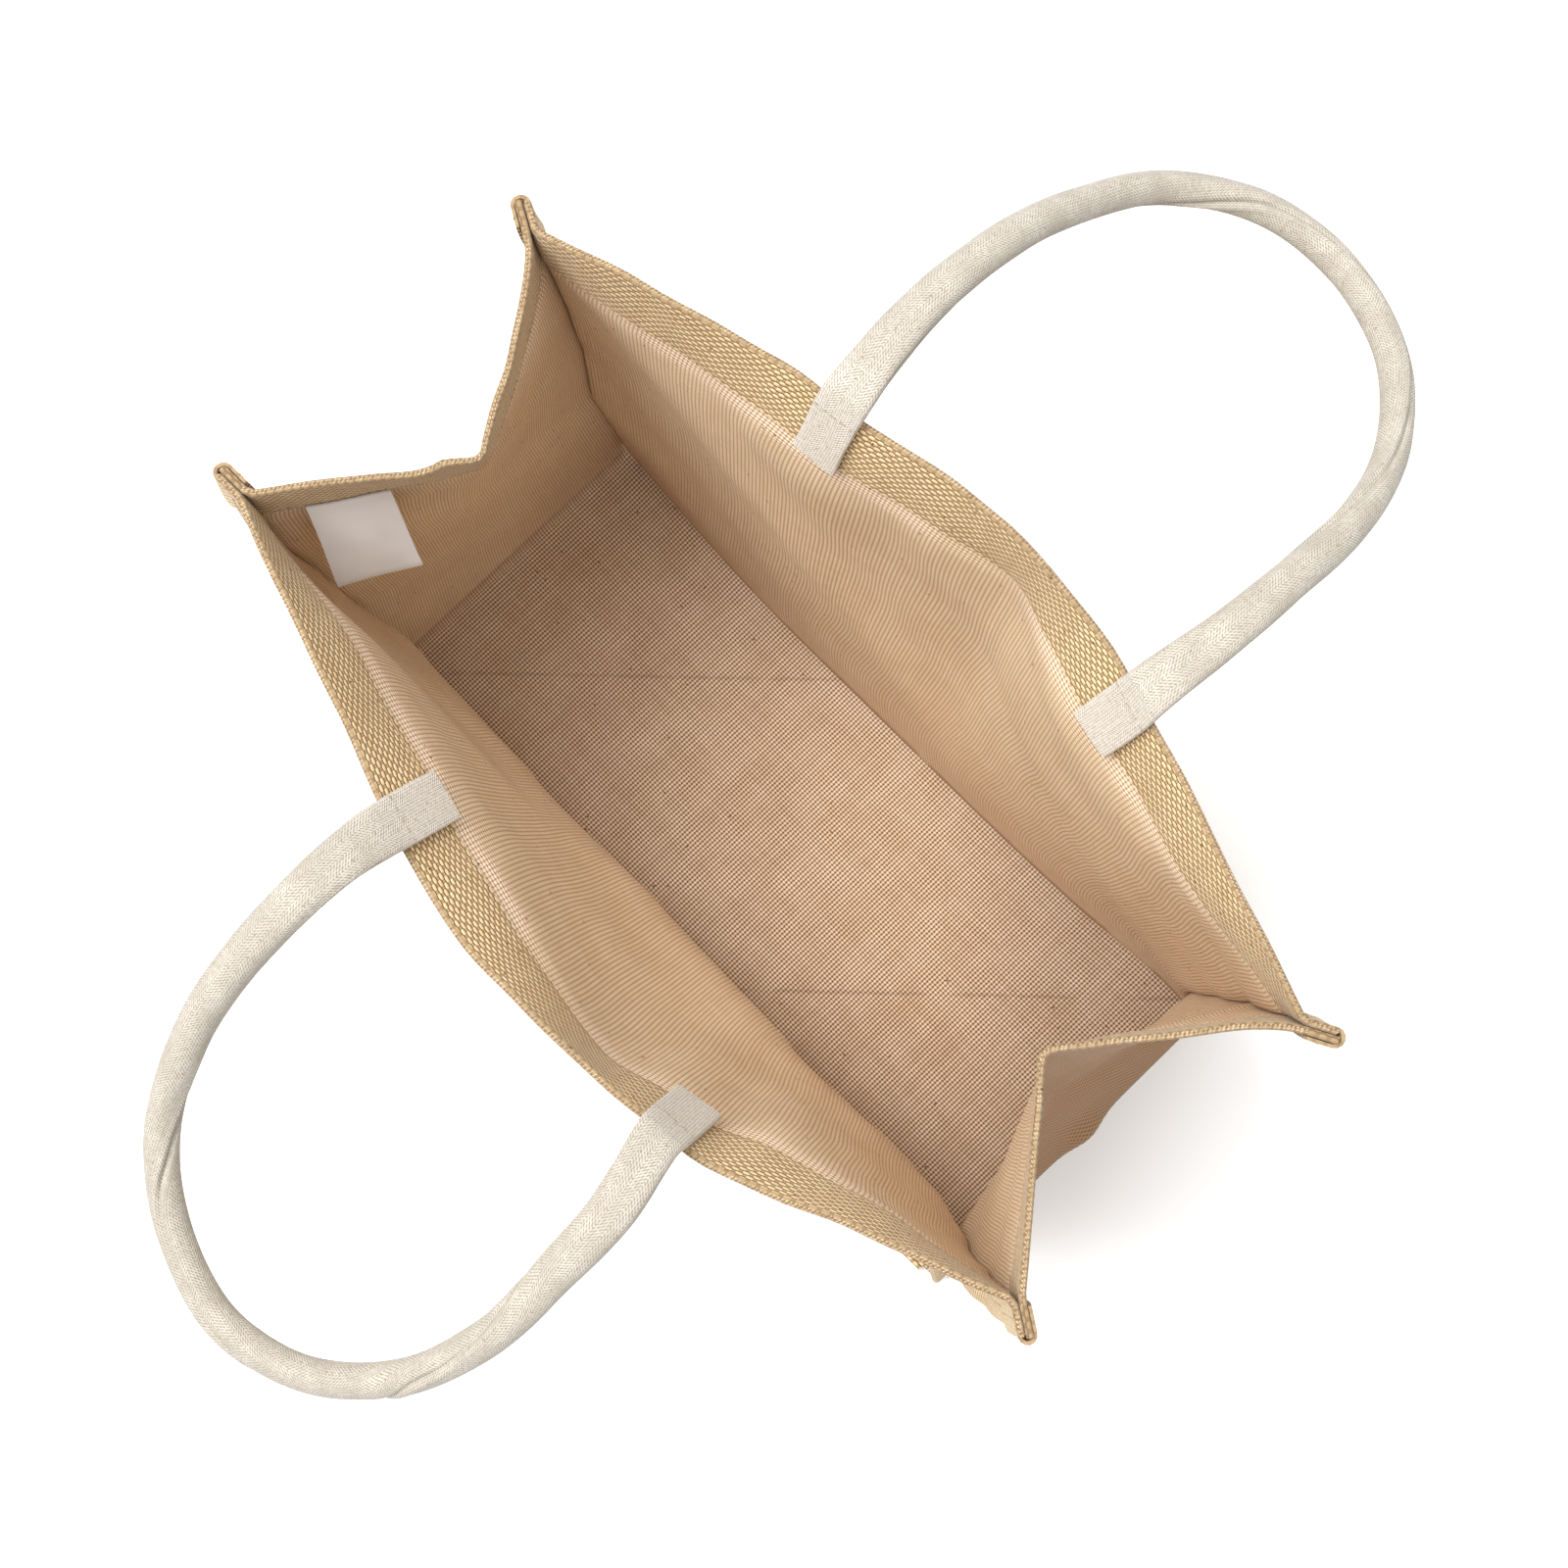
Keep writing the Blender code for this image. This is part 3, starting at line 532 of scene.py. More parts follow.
def panel_grid(name):
    """Vertex grid of a panel and the mask of its cells."""
    left, right, outward, base_edge = PANELS[name][:4]
    left_edge, right_edge = (turned_edge(*corner_sections(corner)) for corner in (left, right))
    body = body_grid(panel_columns(name, PANEL_COLUMNS), PANEL_ROWS)
    outer = np.concatenate([left_edge, body, right_edge[:, ::-1]], axis=1)

    wrap = left_edge.shape[1]
    hem_rows = hem_count(PANEL_ROWS)
    sewn = slice(wrap - 2, outer.shape[1] - wrap + 2)
    top = outer[: hem_rows + 1, sewn]
    out = np.array([0.0, outward, 0.0])
    hem = offset_grid(top, PITCH, -out)[:hem_rows]
    fold = rim_fold(top[0], hem[0], top[1])

    seam_x = outer[-1, wrap:-wrap, 0]
    seam_y = outward * smooth(base_edge, 1, seam_x)
    seam = np.stack([seam_x, seam_y, np.full_like(seam_x, SEAM_LEVEL)], axis=-1)
    bottom = turned_edge(seam, out, UP, PITCH)[:, ::-1].transpose(1, 0, 2)

    first = len(hem) + len(fold)
    last = first + len(outer)
    grid = np.zeros((last + len(bottom), outer.shape[1], 3))
    grid[: len(hem), sewn] = hem[::-1]
    grid[len(hem) : first, sewn] = fold
    grid[first:last] = outer
    grid[last:, wrap:-wrap] = bottom
    used = np.zeros((grid.shape[0] - 1, grid.shape[1] - 1), bool)
    used[: last - 1, wrap:-wrap] = True
    used[: last - 2, wrap - 2 : -(wrap - 2)] = True
    used[first : last - 2, :] = True
    used[last - 1 :, wrap + 1 : -(wrap + 1)] = True
    return grid, used


def flange(line, fin):
    """The strip's seam allowance up a side seam, from its cut edge to the seam."""
    start, out = at_heights(line, END_ROWS), unit(at_heights(fin, END_ROWS))
    thick = np.interp(END_ROWS, STEPS, layers_apart())[:, None] / PITCH - 1.0
    reach = STRIP_ALLOWANCE + HEM_FRAY * thick
    return np.stack([start + out * reach, start + out * SEAM_EASE], axis=1)


def end_rows(name):
    """Sections of one end of the strip, from the base corner to the rim."""
    front, back, fold, softness, front_fullness, back_fullness = ENDS[name]
    half = layers_apart()[:, None] / 2
    fold_x, fold_y = smooth(fold, 1, STEPS), smooth(fold, 2, STEPS)
    edges = []
    for corner, fullness in ((front, front_fullness), (back, back_fullness)):
        line, fin, side = corner_lines(corner)
        edges.append((line - side * half, fin, fullness))
    flat = np.clip(1.0 - STEPS / TRIANGLE_HEIGHT, 0.0, FLATTEST)
    lines = []
    for share in END_COLUMNS:
        edge, _, fullness = edges[0 if share < 0 else 1]
        away = math.hypot(share, softness) - softness
        away = away / (math.hypot(1.0, softness) - softness)
        outside = np.clip((away - flat) / (1.0 - flat), 0.0, 1.0)
        inset = (1.0 - outside) ** fullness
        x = edge[:, 0] * (1 - inset) + fold_x * inset
        y = fold_y * (1 - abs(share)) + edge[:, 1] * abs(share)
        lines.append(climb(x, y, SEAM_LEVEL))
    front_flange, back_flange = (flange(*edge[:2]) for edge in edges)
    return np.concatenate([front_flange, body_grid(lines, END_ROWS), back_flange[:, ::-1]], axis=1)


def base_rows():
    """Sections of the base, flat in the middle and raised by one layer at its seams."""
    x = np.linspace(-BASE_FLAT_END, BASE_FLAT_END, BASE_ROW_COUNT)
    front, back = -smooth(FRONT_BASE, 1, x), smooth(BACK_BASE, 1, x)
    columns = [(front - reach, LAYER_MIDDLE) for reach in (STRIP_ALLOWANCE, SEAM_EASE)]
    for share in END_COLUMNS:
        y = (front if share < 0 else back) * abs(share)
        if abs(share) == 1.0:
            y = y - math.copysign(SEAM_EASE, share)
        raised = (abs(share) - BASE_FLAT_SHARE) / (BASE_RAISED_SHARE - BASE_FLAT_SHARE)
        columns.append((y, LAYER_MIDDLE - PITCH * (1.0 - float(ease(raised)))))
    columns += [(back + reach, LAYER_MIDDLE) for reach in (SEAM_EASE, STRIP_ALLOWANCE)]
    return np.stack([np.stack([x, y, np.full_like(x, z)], axis=-1) for y, z in columns], axis=1)


def corner_rows(base_row, end_row):
    """Sections that carry the cloth round a base corner."""
    turn = np.radians(CORNER_ANGLES)
    shares = np.stack([np.sin(turn), turn / math.radians(90.0), 1 - np.cos(turn)], axis=-1)
    return base_row + (end_row - base_row) * shares[:, None]


def strip_grid():
    """Vertex grid of the strip, from the left end's hem over the base to the right one's."""
    ends = []
    for name, inward in (("left", 1.0), ("right", -1.0)):
        rows = end_rows(name)
        top = rows[-(hem_count(END_ROWS) + 1) :]
        hem = offset_grid(top, PITCH, np.array([inward, 0.0, 0.0]))[1:]
        fold = rim_fold(top[-1], hem[-1], top[-2])
        ends.append(np.concatenate([rows, fold[::-1], hem[::-1]]))
    base = base_rows()
    left, right = ends
    left_corner = corner_rows(base[0], left[0])[::-1]
    right_corner = corner_rows(base[-1], right[0])
    grid = np.concatenate([left[::-1], left_corner, base, right_corner, right])
    return grid, np.ones((grid.shape[0] - 1, grid.shape[1] - 1), bool)


def tab_frames(name, span):
    """Centre points and width direction of a flat tab lying on the inside of the hem."""
    outward = PANELS[name][2]
    first, second = (at_heights(line, TAB_ROWS) for line in panel_columns(name, span))
    across = unit(second - first)
    middle = (first + second) / 2
    along = unit(np.gradient(middle, axis=0))
    lift = unit(np.cross(across, along)) * outward
    points = middle + lift * TAB_LIFT
    leaving = points[-1] + along[-1] * TAB_RISE
    return np.concatenate([points, [leaving]]), np.concatenate([across, across[-1:]])


def handle_frames(name):
    """Centre points, tangents, width directions and distances from the rim."""
    outward = PANELS[name][2]
    (left, left_across), (right, right_across) = (tab_frames(name, span) for span in TAB_SPANS[name])
    control = np.concatenate([left, np.array(HANDLE_RUNS[name], float), right[::-1]])
    reach = lengths_along(control)
    table = [(key, *point) for key, point in zip(reach, control)]
    tab = len(left)
    loose = np.linspace(reach[tab - 1], reach[-tab], HANDLE_STATIONS)[1:-1]
    stations = np.concatenate([reach[:tab], loose, reach[-tab:]])
    points = np.stack([smooth(table, axis, stations) for axis in (1, 2, 3)], axis=-1)
    tangents = unit(np.gradient(points, stations, axis=0))
    from_left = stations - reach[tab - 2]
    from_right = reach[1 - tab] - stations
    beyond = np.minimum(from_left, from_right)
    level = unit(np.cross(tangents, UP)) * outward
    start = np.where(from_left[:, None] < from_right[:, None], left_across[-1], -right_across[-1])
    start[:tab] = left_across
    start[-tab:] = -right_across[::-1]
    share = ease((beyond - TAB_RISE) / TURN_LENGTH)[:, None]
    sides = start * (1 - share) + level * share
    sides -= tangents * np.sum(sides * tangents, axis=1, keepdims=True)
    return points, tangents, unit(sides), beyond


def uneven(points):
    """Moves points by the bag's soft unevenness, so that sewn pieces stay together."""
    points = np.array(points, float)
    x, y, z = points[..., 0], points[..., 1], points[..., 2]
    rise = ease((z - UNEVEN_FROM) / UNEVEN_FULL)
    moved = points.copy()
    for axis, amplitude, along_x, along_y, along_z, phase in UNEVEN:
        wave = 2 * math.pi * (x / along_x + y / along_y + z / along_z) + math.radians(phase)
        moved[..., axis] += amplitude * rise * np.sin(wave)
    for row in NUBS:
        centre, spread, push = np.array(row, float).reshape(3, 3)
        near = np.exp(-np.sum(((points - centre) / spread) ** 2, axis=-1))
        moved += near[..., None] * push
    return moved


def hem_count(rows):
    """Number of rows of a side that the turned hem covers."""
    return sum(height >= HEM_EDGE for height in rows)


def rim_thread_rows(hem):
    """The two rows of a rim's fold that carry its threads."""
    middle = hem + len(FOLD_ANGLES) // 2
    return (middle - 1, middle + 1)


def thread_lengths(grid, axis):
    """Length along the threads of a grid, read on its middle line."""
    middle = grid.shape[1 - axis] // 2
    return lengths_along(grid[:, middle] if axis == 0 else grid[middle])


def film_rows(heights):
    """Strength of the film's pale edge at each height of the cloth."""
    below = HEM_EDGE - np.array(heights)
    return np.where(below >= 0.0, np.clip(2.0 - below / (FILM_EDGE / 2), 0.0, 1.0), 0.0)


def panel_features(grid):
    """Pale film edge under a panel's hem, and the fold of its rim."""
    first = hem_count(PANEL_ROWS) + len(FOLD_ANGLES)
    film, fold = np.zeros((2, *grid.shape[:2]))
    film[first : first + len(PANEL_ROWS)] = film_rows(PANEL_ROWS)[:, None]
    fold[first - len(FOLD_ANGLES) : first + 1] = 1.0
    return {"film_edge": film, "fold": fold}


def strip_features(grid):
    """Film edges, folds and painted shade of the strip's outer ends, and where its base lies."""
    first = hem_count(END_ROWS) + len(FOLD_ANGLES)
    last = first + len(END_ROWS)
    film, base, fold, painted_shade = np.zeros((4, *grid.shape[:2]))
    for way in (1, -1):
        film[::way][first:last] = film_rows(END_ROWS[::-1])[:, None]
        fold[::way][first - len(FOLD_ANGLES) : first] = 1.0
        painted_shade[::way][first:last] = 1.0
    base[last - 1 : 1 - last] = 1.0
    return {"film_edge": film, "base_share": base, "fold": fold, "painted_shade": painted_shade}


def rim_lines(grid, hem, columns):
    """Lines on the surface of a rim's fold, with the directions away from its middle."""
    centre = (grid[hem - 1, columns] + grid[hem + len(FOLD_ANGLES), columns]) / 2
    rows = [grid[row, columns] for row in rim_thread_rows(hem)]
    lifts = [unit(row - centre) for row in rows]
    return [uneven(row) + lift * RIM_THREAD_RISE for row, lift in zip(rows, lifts)], lifts


def hem_stitch_line(grid, columns):
    """Line of stitches along the hem's edge on its inner face, and the way that it faces."""
    edge, above = grid[0, columns], grid[1, columns]
    line = edge * 0.5 + above * 0.5
    lift = unit(np.cross(unit(np.gradient(line, axis=0)), unit(above - edge)))
    inward = np.sum(lift * (BAG_CENTRE - line), axis=-1).sum()
    lift = lift * (1.0 if inward > 0 else -1.0)
    return uneven(line) + lift * (CLOTH / 2 + STITCH_RISE), lift


def fin_lines(name):
    """Stitch lines along both faces of a panel's two side seams."""
    lines = []
    lifts = []
    for corner in PANELS[name][:2]:
        seam, out, aside, gap = corner_sections(corner)
        level = out * (ALLOWANCE - FIN_STITCH)
        near = gap / 2 + CLOTH / 2
        far = PITCH / 2 + (gap + PITCH) / 2 + CLOTH / 2
        lines += [uneven(seam + aside * near + level), uneven(seam - aside * far + level)]
        lifts += [aside, -aside]
    return lines, lifts


def tab_stitch_lines(name):
    """Stitches across both tabs of a handle, just above the rim's line."""
    lines = []
    lifts = []
    for span in TAB_SPANS[name]:
        points, across = tab_frames(name, span)
        along = unit(np.gradient(points, axis=0))
        lift = unit(np.cross(across[-2], along[-2])) * PANELS[name][2]
        centre = points[-2] * (1 - TAB_STITCH_SHARE) + points[-1] * TAB_STITCH_SHARE
        middle = centre + lift * (HANDLE_TAB_THICK / 2 + STITCH_RISE)
        reach = across[-2] * (HANDLE_TAB_WIDTH / 2 - TAB_STITCH_MARGIN)
        steps = np.linspace(-1.0, 1.0, TAB_STITCH_POINTS)
        lines.append(uneven([middle + reach * step for step in steps]))
        lifts.append(np.tile(lift, (TAB_STITCH_POINTS, 1)))
    return lines, lifts


def mesh_object(name, vertices, faces, materials, edges=()):
    """Object at the origin with the given mesh, in metres, in the scene's collection."""
    mesh = bpy.data.meshes.new(name)
    mesh.from_pydata(np.asarray(vertices).tolist(), list(edges), faces)
    for material in materials:
        mesh.materials.append(material)
    obj = bpy.data.objects.new(name, mesh)
    bpy.context.scene.collection.objects.link(obj)
    return obj


def shade(mesh, sharp_degrees):
    """Shades a mesh smooth, with sharp edges where it bends more than an angle."""
    mesh.shade_smooth()
    mesh.set_sharp_from_angle(angle=math.radians(sharp_degrees))


def finish_mesh(obj, sharp_degrees):
    """Turns an object's modifiers into plain mesh and shades it smooth."""
    depsgraph = bpy.context.evaluated_depsgraph_get()
    mesh = bpy.data.meshes.new_from_object(obj.evaluated_get(depsgraph))
    obj.modifiers.clear()
    old = obj.data
    obj.data = mesh
    bpy.data.meshes.remove(old)
    mesh.name = obj.name
    shade(mesh, sharp_degrees)
    return obj


def add_uv(mesh, lengths):
    """UV map of the lengths along weft and warp, one pair for each corner of the faces."""
    mesh.uv_layers.new(name="threads").data.foreach_set("uv", np.ravel(lengths))


def add_feature(mesh, name, values):
    """A number for each point of a mesh, which its material reads."""
    attribute = mesh.attributes.new(name, "FLOAT", "POINT")
    attribute.data.foreach_set("value", values.astype(np.float32))


def cloth_piece(name, grid, used, flip, features, thickness, materials):
    """Cloth of real thickness through a vertex grid, with features as point attributes."""
    numbers = {}
    faces = []
    for row, column in np.argwhere(used):
        spots = ((row, column), (row + 1, column), (row + 1, column + 1), (row, column + 1))
        corners = [numbers.setdefault(spot, len(numbers)) for spot in spots]
        faces.append(corners[::-1] if flip else corners)
    rows, columns = np.array(list(numbers)).T
    obj = mesh_object(name, (uneven(grid) * MM)[rows, columns], faces, materials)
    across, along = thread_lengths(grid, 1)[columns], thread_lengths(grid, 0)[rows]
    add_uv(obj.data, (np.stack([across, along], axis=-1) * MM)[np.concatenate(faces)])
    for key, values in features.items():
        add_feature(obj.data, key, values[rows, columns])
    solid = obj.modifiers.new("Thickness", "SOLIDIFY")
    solid.thickness = thickness * MM
    solid.offset = 0.0
    solid.use_even_offset = True
    solid.use_quality_normals = True
    solid.material_offset = 1
    return finish_mesh(obj, CLOTH_SHARP)


class Graph:
    """Adds nodes to a tree and joins them."""

    def __init__(self, tree):
        self.tree = tree

    def put(self, socket, value):
        """Joins an output to a socket, or sets the socket's own value."""
        if isinstance(value, bpy.types.NodeSocket):
            self.tree.links.new(value, socket)
        else:
            socket.default_value = (*value, 1.0) if isinstance(value, Color) else value

    def add(self, kind, inputs=None, **settings):
        """A new node with its settings and inputs."""
        node = self.tree.nodes.new(kind)
        for key, value in settings.items():
            setattr(node, key, value)
        for key, value in (inputs or {}).items():
            self.put(node.inputs[key], value)
        return node

    def out(self, kind, inputs=None, **settings):
        """The first output of a new node."""
        return self.add(kind, inputs, **settings).outputs[0]

    def math(self, operation, *values):
        return self.out("ShaderNodeMath", dict(enumerate(values)), operation=operation)

    def plus(self, first, second):
        return self.math("ADD", first, second)

    def minus(self, first, second):
        return self.math("SUBTRACT", first, second)

    def times(self, first, second):
        return self.math("MULTIPLY", first, second)

    def times_plus(self, value, factor, shift):
        return self.math("MULTIPLY_ADD", value, factor, shift)

    def mix(self, factor, first, second):
        """The first colour where the factor is 0, and the second where it is 1."""
        return self.add("ShaderNodeMix", {0: factor, 6: first, 7: second}, data_type="RGBA").outputs[2]

    def spread(self, value, low, high, to_low=0.0, to_high=1.0):
        """Maps a range of values smoothly onto another."""
        inputs = dict(enumerate((value, low, high, to_low, to_high)))
        return self.out("ShaderNodeMapRange", inputs, interpolation_type="SMOOTHSTEP")

    def vector(self, x, y, z):
        return self.out("ShaderNodeCombineXYZ", {"X": x, "Y": y, "Z": z})

    def split(self, vector):
        """The coordinates of a vector."""
        return self.add("ShaderNodeSeparateXYZ", {"Vector": vector}).outputs[:]

    def noise(self, vector, scale, space="2D"):
        """Soft noise of two octaves."""
        inputs = {"Vector": vector, "Scale": scale, "Detail": 1.0}
        return self.out("ShaderNodeTexNoise", inputs, noise_dimensions=space)

    def chance(self, value):
        """A random number from 0 to 1 for each whole value."""
        return self.out("ShaderNodeTexWhiteNoise", {"W": value}, noise_dimensions="1D")

    def attribute(self, name):
        return self.add("ShaderNodeAttribute", attribute_name=name).outputs["Fac"]

    def place(self):
        """Place of a point on its object, in metres."""
        return self.add("ShaderNodeTexCoord").outputs["Object"]

    def threads(self):
        """The two thread lengths of a piece's UV map, in metres, and both as a vector."""
        uv = self.out("ShaderNodeUVMap", uv_map="threads")
        return *self.split(uv)[:2], uv


class Finish(Graph):
    """A material with a Principled shader, and the graph of its nodes."""

    def __init__(self, name, roughness, sheen=0.0):
        self.material = bpy.data.materials.new(name)
        self.material.use_nodes = True
        super().__init__(self.material.node_tree)
        self.inputs = self.tree.nodes["Principled BSDF"].inputs
        self.inputs["Roughness"].default_value = roughness
        self.inputs["Sheen Weight"].default_value = sheen
        self.inputs["Specular IOR Level"].default_value = GLOSS

    def surface(self, shown, height, strength, depth):
        """Gives the shader its colour and its relief, and returns the material."""
        bump = {"Strength": strength, "Distance": depth, "Height": height}
        self.put(self.inputs["Base Color"], shown)
        self.put(self.inputs["Normal"], self.out("ShaderNodeBump", bump))
        return self.material


def weave(g, pitches, form):
    """Height of a plain weave, each thread's tone, the warp's rounding, and the thread lengths.

    Pitches are of the warp and of the weft, and form is how one side of the jute is woven.
    """
    wander, warp_width, weft_width, *levels = form
    u, v, uv = g.threads()
    places = [
        g.times_plus(length, 1.0 / pitch, g.times(g.noise(spot, scale), wander))
        for length, pitch, spot, scale in zip(
            (u, v), pitches, (uv, g.vector(v, u, 0.0)), WANDER_SCALES
        )
    ]
    numbers = [g.math("FLOOR", place) for place in places]
    rounds = []
    heights = []
    for own, other, width in ((0, 1, warp_width), (1, 0, weft_width)):
        off = g.minus(g.minus(places[own], numbers[own]), 0.5)
        share = g.math("DIVIDE", off, width / 2)
        rounded = g.math("SQRT", g.math("MAXIMUM", g.minus(1.0, g.times(share, share)), 0.0))
        way = g.math("COSINE", g.times(numbers[own], math.pi))
        over = g.times(way, g.math("SINE", g.times(places[other], math.pi)))
        crossed = g.times(rounded, g.times_plus(over, *CROSSINGS[own]))
        rounds.append(rounded)
        heights.append(g.times(crossed, levels[own]))
    along_weft, along_warp = (
        g.noise(g.vector(g.times(length, TONE_SCALE), g.times(number, apart), 0.0), scale=1.0)
        for length, number, apart in ((u, numbers[1], TONE_STEPS[1]), (v, numbers[0], TONE_STEPS[0]))
    )
    by_thread = g.plus(g.chance(numbers[1]), g.chance(g.plus(numbers[0], 0.5)))
    tone = g.times_plus(by_thread, THREAD_TONE, g.times(g.plus(along_weft, along_warp), NOISE_TONE))
    return g.math("MAXIMUM", *heights), tone, rounds[0], uv


def flecks(g, uv, scale, size, share):
    """Small dark bits in the yarn: 1 inside one."""
    cells = g.add("ShaderNodeTexVoronoi", {"Vector": uv, "Scale": scale}, voronoi_dimensions="2D")
    near = g.spread(cells.outputs["Distance"], size, size * 0.4)
    pick = g.out("ShaderNodeSeparateColor", {"Color": cells.outputs["Color"]})
    return g.times(near, g.math("LESS_THAN", pick, share))


def jute_outside(look, part, pitches):
    """Open golden weave of the outer side, which also shows on the turned hems."""
    g = Finish(part + "_jute_outside", roughness=0.9, sheen=0.15)
    height, tone, _, uv = weave(g, pitches, OUTSIDE_WEAVE)
    thread = g.mix(g.spread(tone, low=0.1, high=0.9), look.dark_yarn, look.light_yarn)
    # Painted shade: the outer faces of the ends take a darker jute, as if in shadow.
    thread = g.mix(g.attribute("painted_shade"), thread, look.painted_shade_yarn)
    # Painted shade between the threads.
    shown = g.mix(g.spread(height, low=0.2, high=0.62), look.gap_colour, thread)
    # Painted shade: the rim's fold is darkened where it shows between the rim threads.
    shown = g.mix(g.times(g.attribute("fold"), 0.8), shown, look.rim_gap)
    shown = g.mix(flecks(g, uv, *OUTSIDE_FLECKS), shown, look.fleck_colour)
    return g.surface(shown, height, strength=0.6, depth=look.weave_depth)


def base_creases(g, x, y):
    """Crease lines across the base, dented and painted darker as shade: 1 in the middle of the deepest."""
    crease = 0.0
    for sign, offset, depth in BASE_CREASES:
        across = g.math("ABSOLUTE", g.minus(g.times_plus(y, sign, x), offset * MM))
        crease = g.math("MAXIMUM", crease, g.spread(across, CREASE_LINE * MM, 0.0, 0.0, depth))
    return crease


def jute_inside(look, part, pitches):
    """Coated inner side: the weave shows softly through a pinkish film, and bare on the base."""
    g = Finish(part + "_jute_inside", roughness=0.72, sheen=0.05)
    height, tone, warp, uv = weave(g, pitches, INSIDE_WEAVE)
    base = g.attribute("base_share")
    # Painted shade between the threads of the walls and the base.
    low = g.mix(base, look.film_gap, look.base_gap)
    cloud = g.times_plus(g.noise(uv, scale=30.0), 0.3, g.times_plus(tone, 0.6, 0.1))
    cloud = g.spread(cloud, low=0.3, high=0.8)
    coated = g.mix(cloud, look.film_dark, look.film_light)
    bare = g.mix(cloud, look.base_dark, look.base_light)
    wall = g.minus(1.0, base)
    # Painted shade in the valleys beside the warp threads of the walls.
    valley = g.times(g.spread(warp, low=0.1, high=0.7, to_low=0.15, to_high=0.0), wall)
    coated = g.mix(valley, coated, look.film_gap)
    shown = g.mix(g.spread(height, low=0.27, high=0.7), low, g.mix(base, coated, bare))
    patchy = g.spread(g.noise(uv, scale=22.0), low=0.3, high=0.55, to_low=0.15, to_high=1.0)
    patch = g.times(g.attribute("film_edge"), patchy)
    patch = g.times(patch, g.spread(height, low=0.35, high=0.8, to_low=0.0, to_high=0.6))
    shown = g.mix(patch, shown, look.film_edge_colour)
    shown = g.mix(flecks(g, uv, *INSIDE_FLECKS), shown, look.fleck_colour)
    place = g.place()
    x, y, z = g.split(place)
    # Painted shade at the foot of the back wall, darkened toward the film's gap colour.
    foot = g.times(g.spread(z, *WALL_FOOT_SHADE), wall)
    shown = g.mix(g.times(foot, g.spread(y, *BACK_HALF)), shown, look.film_gap)
    # Painted shade in the base's creases, which are also dented in the relief below.
    crease_dent_and_shade = g.times(base_creases(g, x, y), base)
    crease_dent_and_shade = g.times(crease_dent_and_shade, g.spread(g.noise(place, scale=40.0), low=0.3, high=0.55))
    shown = g.mix(g.times(crease_dent_and_shade, 0.25), shown, look.base_gap)
    # Painted shadow over the base's far corner, toward the right end and the back.
    far = g.times(g.spread(g.times_plus(y, FAR_SLANT, x), *FAR_CORNER_SHADE), base)
    shown = g.mix(far, shown, look.base_gap)
    raised = g.minus(height, g.times(crease_dent_and_shade, 0.6))
    return g.surface(shown, raised, strength=0.55, depth=look.weave_depth)


def jute_materials(look, part):
    """The outer and the coated inner side of the jute of the strip or of the panels."""
    pitches = (look.warp_pitch if part == "strip" else look.thread_pitch, look.thread_pitch)
    return [jute_outside(look, part, pitches), jute_inside(look, part, pitches)]


def yarn(name, light, dark, scale):
    """Plain yarn for stitches and for the threads that show on a fold, made once."""
    if name in bpy.data.materials:
        return bpy.data.materials[name]
    g = Finish(name, roughness=0.9, sheen=0.1)
    place = g.place()
    shown = g.mix(g.spread(g.noise(place, scale, "3D"), low=0.3, high=0.7), dark, light)
    return g.surface(shown, g.noise(place, YARN_FUZZ, "3D"), strength=0.5, depth=YARN_DEPTH)


def cotton(look):
    """Cream webbing with a fine herringbone and dark seed flecks."""
    g = Finish("cotton_webbing_cloth", roughness=0.88, sheen=0.2)
    u, v, uv = g.threads()
    band = g.math("PINGPONG", u, look.band_width)
    slow = g.times(g.noise(uv, scale=60.0), 0.7)
    ribs = 1.0 / look.twill_pitch
    step = g.times_plus(v, ribs, g.times_plus(band, ribs, slow))
    cross = g.times(u, 2 * math.pi / (look.twill_pitch * 0.8))
    rib, knots = (
        g.times_plus(g.math("COSINE", turn), 0.5, 0.5) for turn in (g.times(step, 2 * math.pi), cross)
    )
    fuzz = g.times(g.noise(uv, scale=620.0), 0.5)
    height = g.times_plus(rib, 0.45, g.times_plus(knots, 0.3, fuzz))
    # Painted light: the flat tabs take lighter cotton and lighter gaps, as if better lit than the rolled
    # webbing.
    tab_painted_light = g.attribute("tab_painted_light")
    tone = g.spread(g.noise(uv, scale=90.0), low=0.2, high=0.8)
    thread = g.mix(tone, look.cotton_dark, look.cotton_light)
    thread = g.mix(tab_painted_light, thread, look.tab_cotton_painted_light)
    # Painted shade between the ribs of the webbing, made lighter on the tabs by their painted light.
    gap = g.mix(tab_painted_light, look.cotton_gap, look.tab_gap_painted_light)
    shown = g.mix(g.spread(height, low=0.3, high=0.85), gap, thread)
    shown = g.mix(g.times(flecks(g, uv, *COTTON_FLECKS), 0.7), shown, look.seed_colour)
    return g.surface(shown, height, strength=0.7, depth=COTTON_DEPTH)


def tape(look):
    """Smooth blank label tape with a faint fine weave."""
    g = Finish("label_tape", roughness=0.6, sheen=0.1)
    u, v, uv = g.threads()
    fine, across = (g.math("SINE", g.times(way, 2 * math.pi / TAPE_PITCH)) for way in (v, u))
    tone = g.spread(g.noise(uv, scale=70.0), low=0.3, high=0.7)
    shown = g.mix(tone, look.label_dark, look.label_light)
    return g.surface(shown, g.times(fine, across), strength=0.2, depth=TAPE_DEPTH)


